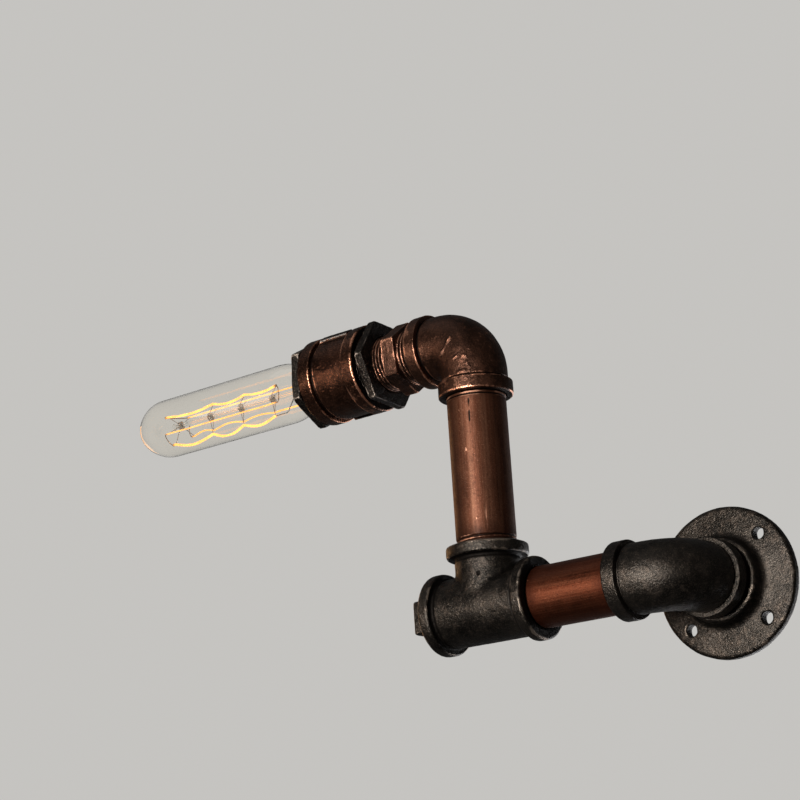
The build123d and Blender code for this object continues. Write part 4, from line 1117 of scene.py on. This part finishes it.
# ---------------------------------------------------------------------------
# finish of the remaining construction pieces
# ---------------------------------------------------------------------------
FINISH = {
    "bulb_glass": GLASS, "bulb_stem": STEMG, "bulb_cap": CAPM, "bulb_insulator": VITRITE, "bulb_tip": SOLDER, "bulb_lead_wires": STEEL,
    "filament_supports": STEEL, "lampholder_body": PORC, "lampholder_shell": CAPM, "lampholder_contact": BRASS, "lampholder_shell_strap": BRASS,
    "lampholder_posts": BRASS, "lampholder_screws": ZINC, "supply_flex_lower": SHEATH, "supply_flex_upper": SHEATH, "holder_live_lead": BROWN,
    "holder_neutral_lead": BLUE, "supply_live_lead": BROWN, "supply_neutral_lead": BLUE, "earth_lead": EARTH, "earth_tag": BRASS,
    "earth_screw": ZINC, "terminal_block": NYLON, "terminal_tubes": BRASS, "terminal_screws": ZINC,
}
for name, mat in FINISH.items():
    me = NODES[name].data
    me.materials.clear()
    me.materials.append(mat)

# ---------------------------------------------------------------------------
# stage, light and camera
# ---------------------------------------------------------------------------
bpy.ops.mesh.primitive_plane_add(size=40.0, location=(0, 0, -1.45))
floor = bpy.context.object
floor.name = "floor"
k = Nt("floor_paper")                      # evenly lit pale paper that throws no light back on the metal
n = k.noise(0.6, 3, 0.5)
tone = k.mix(k.ramp(n, 0.3, 0.7), (0.560, 0.550, 0.530), (0.552, 0.542, 0.522))
k.set(Roughness=0.9, Emission_Strength=1.0, Base_Color=(0.02, 0.02, 0.02, 1.0))
k.link(tone, k.bsdf.inputs["Emission Color"])
floor.data.materials.append(k.done())
floor.visible_diffuse = False
floor.visible_glossy = False

w = bpy.data.worlds.new("studio")
scene.world = w
w.use_nodes = True
nt = w.node_tree
bg = nt.nodes["Background"]
bg.inputs["Color"].default_value = (0.56, 0.55, 0.53, 1)
bg.inputs["Strength"].default_value = 1.0
dim = nt.nodes.new("ShaderNodeBackground")
dim.inputs["Color"].default_value = (0.80, 0.78, 0.76, 1)
dim.inputs["Strength"].default_value = 0.08
lp = nt.nodes.new("ShaderNodeLightPath")
mx = nt.nodes.new("ShaderNodeMixShader")
seen = nt.nodes.new("ShaderNodeMath")               # the pale backdrop also shows through the bulb
seen.operation = "MAXIMUM"
nt.links.new(lp.outputs["Is Camera Ray"], seen.inputs[0])
nt.links.new(lp.outputs["Is Transmission Ray"], seen.inputs[1])
nt.links.new(seen.outputs[0], mx.inputs[0])
nt.links.new(dim.outputs[0], mx.inputs[1])
nt.links.new(bg.outputs[0], mx.inputs[2])
nt.links.new(mx.outputs[0], nt.nodes["World Output"].inputs["Surface"])

AIM = Vector((-0.16, -0.055, 0.09))


def softbox(name, az, el, dist, w_, h_, power, color=(1, 1, 1)):
    """Rectangular soft light; azimuth 0 is straight in front, positive to the right."""
    a, e = math.radians(az), math.radians(el)
    pos = AIM + Vector((math.sin(a) * math.cos(e), -math.cos(a) * math.cos(e), math.sin(e))) * dist
    li = bpy.data.lights.new(name, "AREA")
    li.shape = "RECTANGLE"
    li.size, li.size_y = w_, h_
    li.energy = power
    li.color = color
    ob = bpy.data.objects.new(name, li)
    ob.location = pos
    ob.rotation_euler = (AIM - pos).to_track_quat("-Z", "Y").to_euler()
    ob.visible_camera = False
    ob.visible_transmission = False
    scene.collection.objects.link(ob)
    return ob


softbox("key", 5, -5, 1.5, 0.50, 0.60, 36, (1.0, 0.955, 0.90))
softbox("side", 62, 6, 1.7, 0.30, 1.0, 1.3, (1.0, 0.86, 0.72))
softbox("left", -36, -3, 1.5, 0.5, 0.5, 3.2, (1.0, 0.78, 0.60))
softbox("glow_side", -110, 4, 1.2, 0.30, 0.6, 1.2, (1.0, 0.52, 0.22))
softbox("overhead", -30, 66, 1.7, 1.3, 1.0, 2.0, (1.0, 0.98, 0.96))
softbox("behind", 180, -14, 1.8, 1.2, 1.2, 11, (0.98, 0.98, 1.0))

scene.view_settings.view_transform = "Standard"

cam = bpy.data.cameras.new("camera")
cam.lens = 88.4
cam.sensor_width = 36.0
cam.sensor_fit = "AUTO"
cam.clip_start = 0.01
cam_ob = bpy.data.objects.new("camera", cam)
m = Matrix.Identity(4)
for i in range(3):
    m[i][0], m[i][1], m[i][2], m[i][3] = CAM_R[i], CAM_U[i], CAM_B[i], CAM_P[i] * 1e-3
cam_ob.matrix_world = m
scene.collection.objects.link(cam_ob)
scene.camera = cam_ob
